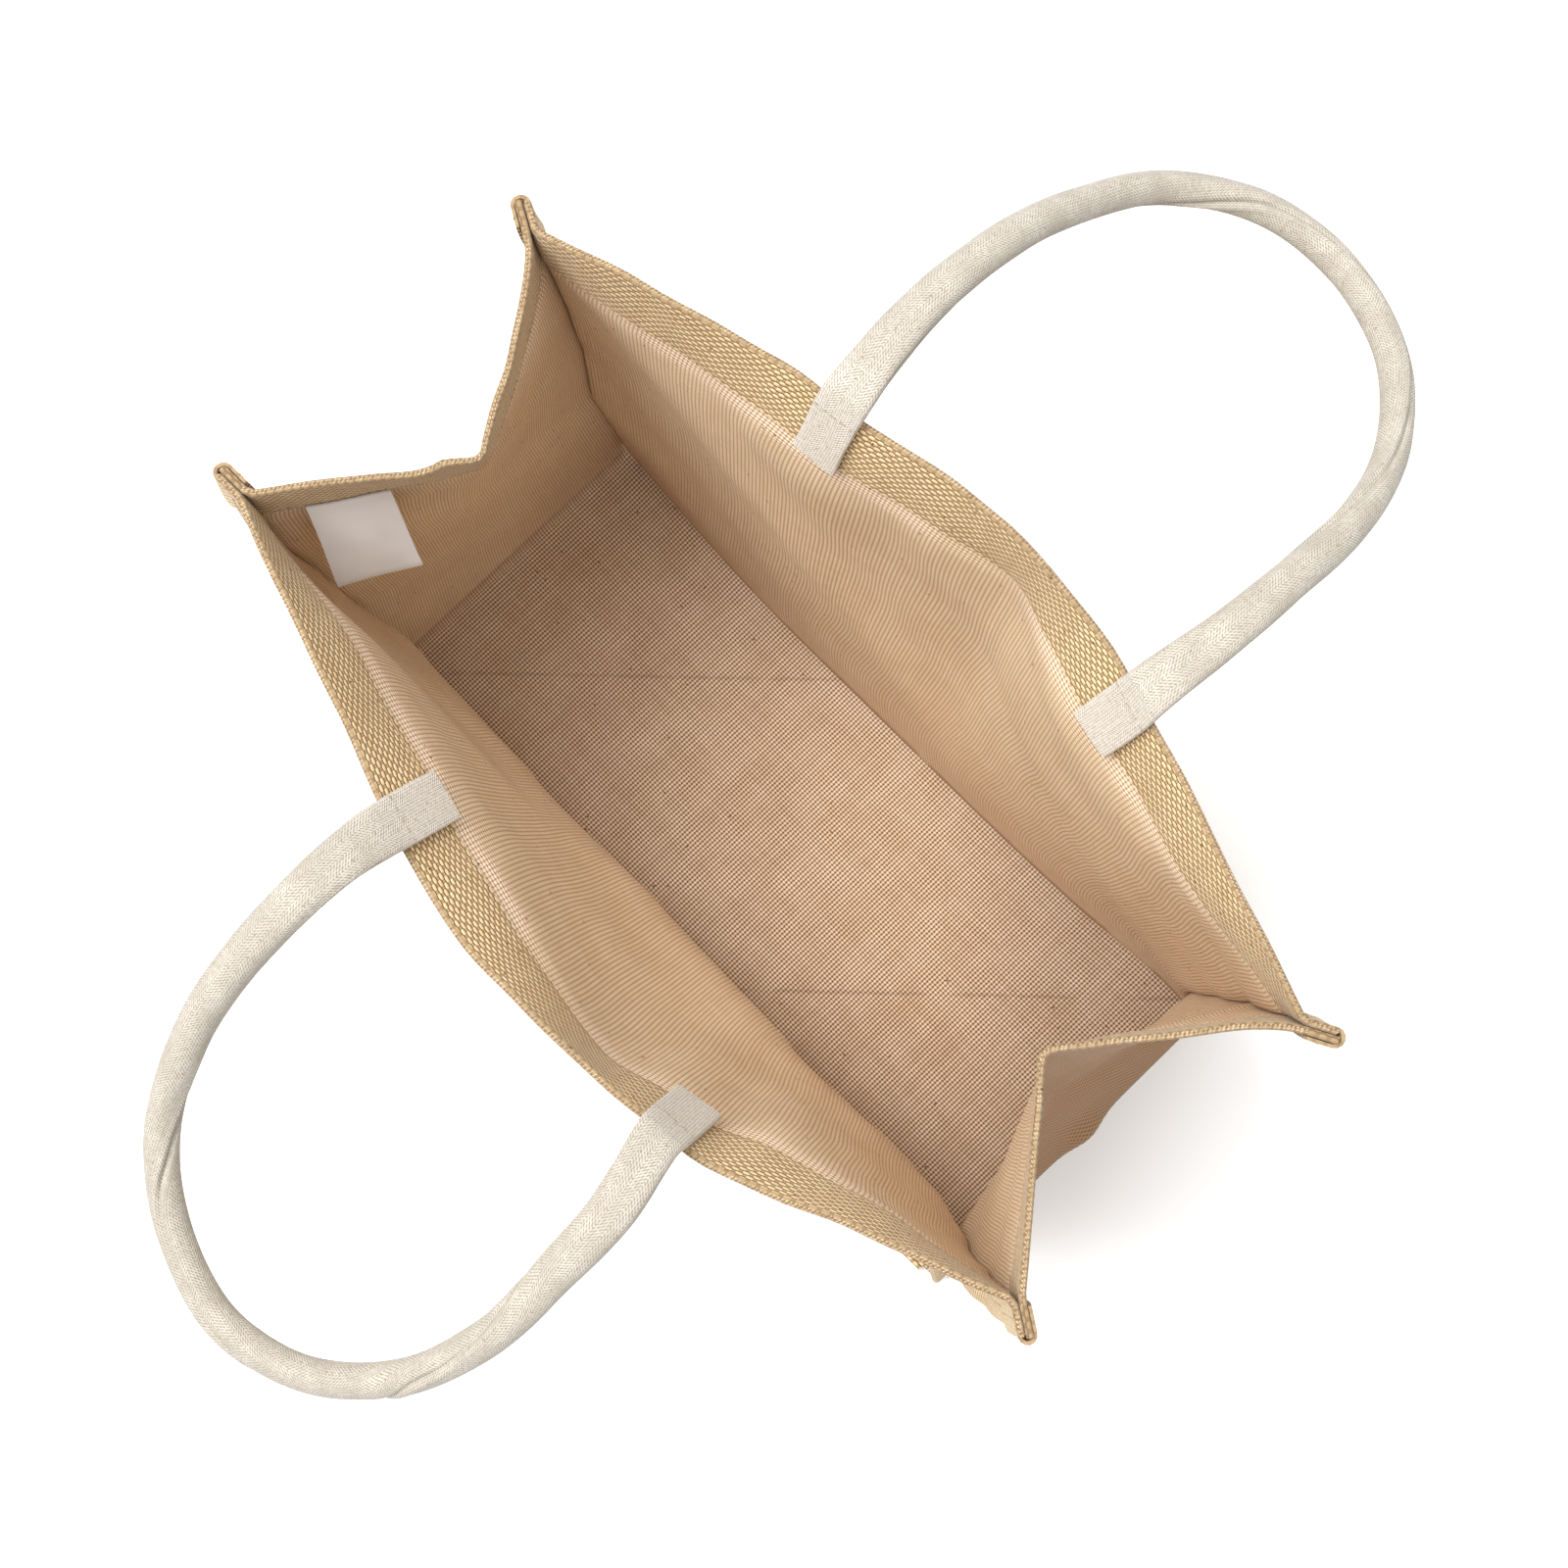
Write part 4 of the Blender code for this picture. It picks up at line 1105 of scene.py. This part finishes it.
def threads_tree():
    """Geometry Nodes tree: rounded threads laid end to end along the edges of a mesh."""
    tree = bpy.data.node_groups.new("laid_threads", "GeometryNodeTree")

    def socket(name, kind, way="INPUT"):
        return tree.interface.new_socket(name, in_out=way, socket_type="NodeSocket" + kind)

    socket("Geometry", "Geometry")
    for key, value in zip(THREAD_KEYS, STITCH_SIZES):
        socket(key, "Float").default_value = value
    socket("Seed", "Int").default_value = 1
    socket("Material", "Material")
    socket("Geometry", "Geometry", "OUTPUT")
    g = Graph(tree)
    start = g.add("NodeGroupInput").outputs
    line = g.out("GeometryNodeMeshToCurve", {"Mesh": start["Geometry"]})
    even = g.out("GeometryNodeResampleCurve", {"Curve": line, "Length": start["Pitch"]}, mode="LENGTH")
    bead = g.out("GeometryNodeMeshUVSphere", {"Segments": 8, "Rings": 5, "Radius": 0.5})
    lift = g.add("GeometryNodeInputNamedAttribute", {"Name": "lift"}, data_type="FLOAT_VECTOR")
    away = {"Vector": lift.outputs["Attribute"]}
    upright = g.out("FunctionNodeAlignRotationToVector", away, axis="Z")
    ahead = {"Rotation": upright, "Vector": g.out("GeometryNodeInputTangent")}
    laid = g.out("FunctionNodeAlignRotationToVector", ahead, axis="X", pivot_axis="Z")
    spin = g.out("FunctionNodeAxisAngleToRotation", {"Angle": start["Turn"]})
    both = {"Rotation": laid, "Rotate By": spin}
    turned = g.out("FunctionNodeRotateRotation", both, rotation_space="LOCAL")
    chance = g.add("FunctionNodeRandomValue", {"Seed": start["Seed"]}, data_type="FLOAT")
    low, high = (s for s in chance.inputs if s.enabled and s.name in ("Min", "Max"))
    g.put(low, g.minus(1.0, start["Variation"]))
    g.put(high, g.plus(1.0, start["Variation"]))
    size = {
        0: g.vector(start["Length"], start["Width"], start["Height"]),
        "Scale": next(s for s in chance.outputs if s.enabled),
    }
    scaled = g.out("ShaderNodeVectorMath", size, operation="SCALE")
    beads = {"Points": even, "Instance": bead, "Rotation": turned, "Scale": scaled}
    real = g.out("GeometryNodeRealizeInstances", {0: g.out("GeometryNodeInstanceOnPoints", beads)})
    coloured = g.out("GeometryNodeSetMaterial", {"Geometry": real, "Material": start["Material"]})
    g.add("NodeGroupOutput", {"Geometry": coloured})
    return tree


def threads_along(name, lines, lifts, sizes, seed, material):
    """Rounded threads along lines of points in millimetres, each standing out by its lift."""
    edges = []
    first = 0
    for line in lines:
        edges += [(first + step, first + step + 1) for step in range(len(line) - 1)]
        first += len(line)
    obj = mesh_object(name, np.concatenate(lines) * MM, [], [], edges)
    outward = unit(np.concatenate(lifts)).astype(np.float32)
    attribute = obj.data.attributes.new("lift", "FLOAT_VECTOR", "POINT")
    attribute.data.foreach_set("vector", outward.ravel())
    tree = bpy.data.node_groups.get("laid_threads") or threads_tree()
    keys = {item.name: item.identifier for item in tree.interface.items_tree if item.in_out == "INPUT"}
    modifier = obj.modifiers.new("Threads", "NODES")
    modifier.node_group = tree
    for key, value in (*zip(THREAD_KEYS, sizes), ("Seed", seed), ("Material", material)):
        modifier[keys[key]] = value
    finish_mesh(obj, NEVER_SHARP)
    left_over = obj.data.attributes.get("lift")
    if left_over:
        obj.data.attributes.remove(left_over)
    return obj


def rim_threads(name, lines, lifts, look):
    """The threads that show as a small chain along a folded rim."""
    pitch = look.warp_pitch
    sizes = (pitch, pitch * RIM_THREAD_SHARE, *RIM_THREAD_SIZES)
    thread = yarn("rim_yarn", look.rim_light, look.rim_dark, RIM_MOTTLE)
    return threads_along(name, lines, lifts, sizes, look.thread_seed, thread)


def stitches(name, lines, lifts, look, thread=None):
    """Sewing stitches along lines."""
    thread = thread or yarn("sewing_thread", look.stitch_light, look.stitch_dark, SEWING_MOTTLE)
    return threads_along(name, lines, lifts, STITCH_SIZES, look.thread_seed + 1, thread)


def handle_rings(name, points, tangents, sides, beyond):
    """Sections round a handle's webbing, each a closed ring of points."""
    reach = lengths_along(points)
    loose = reach[beyond >= TAB_RISE - 0.01]
    share = np.clip((reach - loose[0]) / (loose[-1] - loose[0]), 0.0, 1.0)
    seam = np.radians(smooth(GROOVES[name], 1, share)) * -PANELS[name][2]
    width, depth, square = (smooth(HANDLE_SECTION, column, beyond)[:, None] for column in (1, 2, 3))
    radius = (width + depth) / 4
    turn = 2 * math.pi * np.arange(RING_POINTS) / RING_POINTS
    around = seam[:, None] + turn
    wide, deep = (
        np.sign(way) * np.abs(way) ** (2 / square) * size / 2
        for way, size in ((np.cos(around), width), (np.sin(around), depth))
    )
    apart = np.where(turn > math.pi, turn - 2 * math.pi, turn) * radius
    swell = -GROOVE_DEPTH * np.exp(-((apart / GROOVE_HALF_WIDTH) ** 2))
    swell += LIP_HEIGHT * np.exp(-(((apart - LIP_PLACE) / LIP_HALF_WIDTH) ** 2))
    for amount, wave, folds, phase in LUMPS:
        swell += amount * np.sin(2 * math.pi * reach[:, None] / wave + folds * around + phase)
    full = ease((beyond - GROOVE_FROM) / (GROOVE_FULL - GROOVE_FROM))[:, None]
    scale = 1.0 + swell * full / radius
    normals = np.cross(tangents, sides)
    rings = points[:, None] + sum(
        (amount * scale)[..., None] * way[:, None] for amount, way in ((wide, sides), (deep, normals))
    )
    held = 1.0 - ease((beyond - TAB_RISE) / TURN_LENGTH)
    return rings + (uneven(rings) - rings) * held[:, None, None]


def handle_piece(name, material):
    """Rolled webbing along a handle, with its long seam as a groove, and flat tabs."""
    points, tangents, sides, beyond = handle_frames(name)
    rings = handle_rings(name, points, tangents, sides, beyond)
    count = len(rings)
    spots = []
    for ring in range(count - 1):
        for step in range(RING_POINTS):
            spots.append([(ring, step), (ring, step + 1), (ring + 1, step + 1), (ring + 1, step)])
    spots.append([(0, step) for step in reversed(range(RING_POINTS))])
    spots.append([(count - 1, step) for step in range(RING_POINTS)])
    faces = [[ring * RING_POINTS + step % RING_POINTS for ring, step in face] for face in spots]
    obj = mesh_object(name + "_handle_webbing", rings.reshape(-1, 3) * MM, faces, [material])
    closed = np.concatenate([rings, rings[:, :1]], axis=1)
    edge = np.linalg.norm(np.diff(closed, axis=1), axis=2)
    around = np.concatenate([np.zeros((count, 1)), np.cumsum(edge, axis=1)], axis=1)
    reach = lengths_along(points)
    add_uv(obj.data, [(around[ring, step] * MM, reach[ring] * MM) for face in spots for ring, step in face])
    # Painted light on the tabs: 1 on the flat webbing, fading to 0 on the loose run.
    tab_painted_light = 1.0 - ease((beyond - TAB_LIGHT_UNTIL) / TAB_LIGHT_FADE)
    add_feature(obj.data, "tab_painted_light", np.repeat(tab_painted_light, RING_POINTS))
    shade(obj.data, HANDLE_SHARP)
    return obj


def label_piece(material):
    """Blank tape folded in two, hanging from the hem's edge and slightly curled."""
    (top_front, top_back), (low_front, low_back) = np.array(LABEL_CORNERS, float)
    down = np.linspace(0.0, 1.0, LABEL_ROWS)[:, None, None]
    across = np.linspace(0.0, 1.0, LABEL_COLUMNS)[None, :, None]
    left = top_front * (1 - down) + low_front * down
    right = top_back * (1 - down) + low_back * down
    curl = LABEL_CURL * np.sin(math.pi * down) * np.sin(math.pi * across)
    middle = left * (1 - across) + right * across + curl * np.array([1.0, 0.0, 0.0])
    along = unit(np.gradient(middle, axis=0))
    shift = unit(np.cross(unit(np.gradient(middle, axis=1)), along)) * LABEL_LAYER_SHIFT
    bend = [
        middle[-1] + shift[-1] * math.cos(turn) + along[-1] * LABEL_LAYER_SHIFT * math.sin(turn)
        for turn in map(math.radians, LABEL_BEND)
    ]
    grid = np.concatenate([middle + shift, bend, (middle - shift)[::-1]])
    used = np.ones((grid.shape[0] - 1, grid.shape[1] - 1), bool)
    return cloth_piece("label_folded", grid, used, False, {}, LABEL_LAYER, [material, material])


def carry(slot, *pieces):
    """Puts finished pieces on the bag's body and hides the imported parts that they stand for."""
    for piece, node in pieces:
        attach(piece, BODY)
        if node:
            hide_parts(node)


def sew_cloth(piece, node, names, rims, seams, slot, look):
    rim = rim_threads(names[0], *rims, look)
    sewn = stitches(names[1], *seams, look)
    carry(slot, (piece, node), (rim, None), (sewn, None))


def colour(name, description, default):
    """A colour property with linear values."""
    return FloatVectorProperty(
        name=name, description=description, default=default, size=3, min=0.0, max=1.0, subtype="COLOR"
    )


def length(name, description, default, low):
    """A length property in metres."""
    return FloatProperty(
        name=name, description=description, default=default, min=low, subtype="DISTANCE", unit="LENGTH"
    )


def power(name, description, default):
    """A light's power in watts."""
    return FloatProperty(
        name=name, description=description, default=default, min=0.0, subtype="POWER", unit="POWER"
    )


class BagLook(bpy.types.PropertyGroup):
    """Sizes of the weave and colours of the yarns."""

    thread_pitch: length("Weft Pitch", "Distance from one jute weft thread to the next", 0.00195, 0.0005)
    warp_pitch: length("Warp Pitch", "Distance from one jute warp thread to the next", 0.00164, 0.0005)
    weave_depth: length("Weave Depth", "Height of the jute threads in the shading", 0.0006, 0.0)
    twill_pitch: length("Twill Pitch", "Distance between the ribs of the webbing", 0.0014, 0.0005)
    band_width: length("Herringbone Band", "Width of one band of the herringbone", 0.0042, 0.001)
    thread_seed: IntProperty(
        name="Thread Seed", description="Seed of the sewn threads' small differences", default=7
    )
    light_yarn: colour("Light Jute", "Lighter jute threads", (0.86, 0.665, 0.38))
    dark_yarn: colour("Dark Jute", "Darker jute threads", (0.68, 0.475, 0.245))
    # Painted shade on the outer faces of the ends.
    painted_shade_yarn: colour("Shaded Jute", "Darker jute on the outer faces of the ends", (0.45, 0.245, 0.10))
    rim_light: colour("Rim Yarn", "Threads on the folded rims", (0.50, 0.38, 0.245))
    # Painted shade in the holes between the rim's threads.
    rim_gap: colour("Rim Gap", "Cloth between the threads of the rims", (0.20, 0.13, 0.07))
    rim_dark: colour("Rim Yarn Shade", "Darker threads on the rims", (0.35, 0.255, 0.15))
    gap_colour: colour("Weave Gap", "Shade between the threads", (0.09, 0.042, 0.014))
    fleck_colour: colour("Bark Fleck", "Bits of bark in the yarn", (0.12, 0.06, 0.028))
    film_light: colour("Film Light", "Lighter parts of the coated side", (0.89, 0.735, 0.53))
    film_dark: colour("Film Dark", "Darker parts of the coated side", (0.78, 0.605, 0.40))
    # Painted shade between the threads of the inner side; the painted shade of the wall's foot, the base's
    # creases and its far corner uses these colours too.
    film_gap: colour("Film Gap", "Between the threads of the coated side", (0.38, 0.21, 0.105))
    base_gap: colour("Base Gap", "Between the threads of the base", (0.05, 0.021, 0.01))
    base_light: colour("Base Light", "Lighter threads of the base", (0.77, 0.58, 0.415))
    base_dark: colour("Base Dark", "Darker threads of the base", (0.61, 0.42, 0.27))
    film_edge_colour: colour("Film Edge", "Pale film under the hem", (0.84, 0.74, 0.62))
    cotton_light: colour("Cotton", "Cotton yarn", (0.495, 0.462, 0.415))
    cotton_dark: colour("Cotton Shade", "Darker cotton yarn", (0.41, 0.376, 0.328))
    # Painted light: lighter cotton and gaps for the flat tabs.
    tab_cotton_painted_light: colour("Pressed Cotton", "Cotton of the flat tabs", (0.69, 0.645, 0.58))
    # Painted shade between the ribs of the webbing.
    cotton_gap: colour("Cotton Gap", "Between the ribs of the webbing", (0.27, 0.23, 0.17))
    tab_gap_painted_light: colour("Pressed Gap", "Between the ribs of the tabs", (0.37, 0.325, 0.265))
    seed_colour: colour("Seed Fleck", "Seed flecks in the cotton", (0.22, 0.13, 0.06))
    stitch_light: colour("Sewing Thread", "Sewing thread", (0.46, 0.33, 0.19))
    stitch_dark: colour("Sewing Thread Shade", "Darker sewing thread", (0.34, 0.23, 0.12))
    label_light: colour("Label", "Blank label", (0.56, 0.525, 0.50))
    label_dark: colour("Label Shade", "Darker parts of the label", (0.53, 0.495, 0.475))


class BagStage(bpy.types.PropertyGroup):
    """Light and camera."""

    key_power: power("Key Power", "Power of the soft key light", 126.0)
    key_size: length("Key Size", "Width of the soft key light", 1.9, 0.05)
    key_distance: length("Key Distance", "Distance of the key light from the bag", 3.5, 0.5)
    top_power: power("Top Power", "Power of the wide light above", 104.0)
    top_size: length("Top Size", "Width of the wide light above", 4.0, 0.05)
    top_distance: length("Top Distance", "Height of the wide light above the bag", 2.4, 0.5)
    fill: FloatProperty(name="Fill", description="Brightness of the white room", default=0.38, min=0.0)
    lens: FloatProperty(name="Lens", description="Focal length in millimetres", default=48.79, min=10.0)
    floor_size: length("Floor Size", "Width of the floor", 12.0, 1.0)
    floor_colour: colour("Floor", "Floor", (0.86, 0.86, 0.86))


class BagStep:
    """What the bag's operators share."""

    bl_options = {"REGISTER", "UNDO"}


class BAG_OT_strip(BagStep, bpy.types.Operator):
    """Adds the strip that makes both ends and the base, with its hems and rim threads"""

    bl_idname = "bag.strip"
    bl_label = "Add Strip"

    def execute(self, context):
        look = context.scene.bag_look
        grid, used = strip_grid()
        cloth = jute_materials(look, "strip")
        piece = cloth_piece("strip_cloth", grid, used, True, strip_features(grid), CLOTH, cloth)
        rims = ([], [])
        seams = ([], [])
        for half in (grid, grid[::-1]):
            for kept, made in zip(rims, rim_lines(half, hem_count(END_ROWS), slice(1, -1))):
                kept.extend(made)
            for kept, made in zip(seams, hem_stitch_line(half, slice(3, -3))):
                kept.append(made)
        names = ("strip_rim_threads", "strip_hem_stitches")
        sew_cloth(piece, "gusset_strip", names, rims, seams, "jute_strip", look)
        return {"FINISHED"}


class BAG_OT_panels(BagStep, bpy.types.Operator):
    """Adds the front and back panels, with their hems, rim threads and stitches"""

    bl_idname = "bag.panels"
    bl_label = "Add Panels"

    def execute(self, context):
        look = context.scene.bag_look
        cloth = jute_materials(look, "panel")
        wrap = len(WRAP_ANGLES) + 2
        for name in PANELS:
            grid, used = panel_grid(name)
            features = panel_features(grid)
            piece = cloth_piece(name + "_panel_cloth", grid, used, name == "back", features, CLOTH, cloth)
            sewn = slice(wrap - 2, grid.shape[1] - wrap + 2)
            rims = rim_lines(grid, hem_count(PANEL_ROWS), sewn)
            seams = fin_lines(name)
            for kept, made in zip(seams, hem_stitch_line(grid, slice(wrap, -wrap))):
                kept.append(made)
            names = (name + "_rim_threads", name + "_panel_stitches")
            sew_cloth(piece, name + "_panel", names, rims, seams, "jute_panel", look)
        return {"FINISHED"}


class BAG_OT_handles(BagStep, bpy.types.Operator):
    """Adds both handles of rolled webbing and the stitches across their tabs"""

    bl_idname = "bag.handles"
    bl_label = "Add Handles"

    def execute(self, context):
        look = context.scene.bag_look
        material = cotton(look)
        # The tab stitches' lighter yarn takes the colour of the tabs' painted-light gaps.
        thread = yarn("cotton_thread", look.tab_gap_painted_light, look.cotton_gap, SEWING_MOTTLE)
        for name in PANELS:
            piece = handle_piece(name, material)
            sewn = stitches(name + "_tab_stitches", *tab_stitch_lines(name), look, thread)
            carry("cotton_webbing", (piece, name + "_handle"), (sewn, None))
        return {"FINISHED"}


class BAG_OT_label(BagStep, bpy.types.Operator):
    """Adds the blank folded label at the hem of the left end"""

    bl_idname = "bag.label"
    bl_label = "Add Label"

    def execute(self, context):
        piece = label_piece(tape(context.scene.bag_look))
        carry("label_cloth", (piece, "label"))
        return {"FINISHED"}


def soft_light(scene, name, direction, watts, size, distance):
    """Square area light that faces the bag from a direction."""
    light = bpy.data.lights.new(name, "AREA")
    light.energy = watts
    light.size = size
    lamp = bpy.data.objects.new(name, light)
    away = Vector(direction).normalized()
    lamp.location = away * distance + Vector(BAG_MIDDLE)
    lamp.rotation_mode = "QUATERNION"
    lamp.rotation_quaternion = away.to_track_quat("Z", "Y")
    scene.collection.objects.link(lamp)


def photo_camera(lens):
    """Camera that sees the bag as the photo does."""
    data = bpy.data.cameras.new("camera")
    data.sensor_width = SENSOR_WIDTH
    data.lens = lens
    data.clip_start = CLIP_START
    camera = bpy.data.objects.new("camera", data)
    axes = [Vector(axis).normalized() for axis in CAMERA_AXES]
    rows = [(*(axis[i] for axis in axes), CAMERA_PLACE[i]) for i in range(3)]
    camera.matrix_world = Matrix([*rows, (0, 0, 0, 1)])
    return camera


class BAG_OT_stage(BagStep, bpy.types.Operator):
    """Adds the floor, the soft studio light and the camera"""

    bl_idname = "bag.stage"
    bl_label = "Add Stage"

    def execute(self, context):
        scene = context.scene
        stage = scene.bag_stage
        half = stage.floor_size / 2
        corners = [(-half, -half, 0), (half, -half, 0), (half, half, 0), (-half, half, 0)]
        paper = Finish("floor_paper", roughness=0.8)
        paper.put(paper.inputs["Base Color"], stage.floor_colour)
        floor = mesh_object("floor", corners, [(0, 1, 2, 3)], [paper.material])
        floor.location.z = -FLOOR_DROP

        world = bpy.data.worlds.new("white_room")
        world.use_nodes = True
        background = world.node_tree.nodes["Background"]
        background.inputs["Color"].default_value = (1.0, 1.0, 1.0, 1.0)
        background.inputs["Strength"].default_value = stage.fill
        scene.world = world

        soft_light(scene, "key_light", KEY_DIRECTION, stage.key_power, stage.key_size, stage.key_distance)
        soft_light(scene, "top_light", TOP_DIRECTION, stage.top_power, stage.top_size, stage.top_distance)

        scene.camera = photo_camera(stage.lens)
        scene.collection.objects.link(scene.camera)
        scene.view_settings.view_transform = "Standard"
        return {"FINISHED"}


OPERATORS = (BAG_OT_strip, BAG_OT_panels, BAG_OT_handles, BAG_OT_label, BAG_OT_stage)


class BAG_PT_build(bpy.types.Panel):
    """Sizes, colours and the buttons that build the bag, in order."""

    bl_idname = "BAG_PT_build"
    bl_label = "Burlap Bag"
    bl_space_type = "VIEW_3D"
    bl_region_type = "UI"
    bl_category = "Bag"

    def draw(self, context):
        layout = self.layout
        for group in (context.scene.bag_look, context.scene.bag_stage):
            box = layout.box()
            for key in group.bl_rna.properties.keys():
                if key not in {"rna_type", "name"}:
                    box.prop(group, key)
        for operator in OPERATORS:
            layout.operator(operator.bl_idname)


CLASSES = (BagLook, BagStage, *OPERATORS, BAG_PT_build)


def register():
    for item in CLASSES:
        bpy.utils.register_class(item)
    bpy.types.Scene.bag_look = PointerProperty(type=BagLook)
    bpy.types.Scene.bag_stage = PointerProperty(type=BagStage)


def unregister():
    del bpy.types.Scene.bag_look
    del bpy.types.Scene.bag_stage
    for item in reversed(CLASSES):
        bpy.utils.unregister_class(item)


def main():
    register()
    bpy.ops.bag.strip()
    bpy.ops.bag.panels()
    bpy.ops.bag.handles()
    bpy.ops.bag.label()
    bpy.ops.bag.stage()


if __name__ == "__main__":
    main()
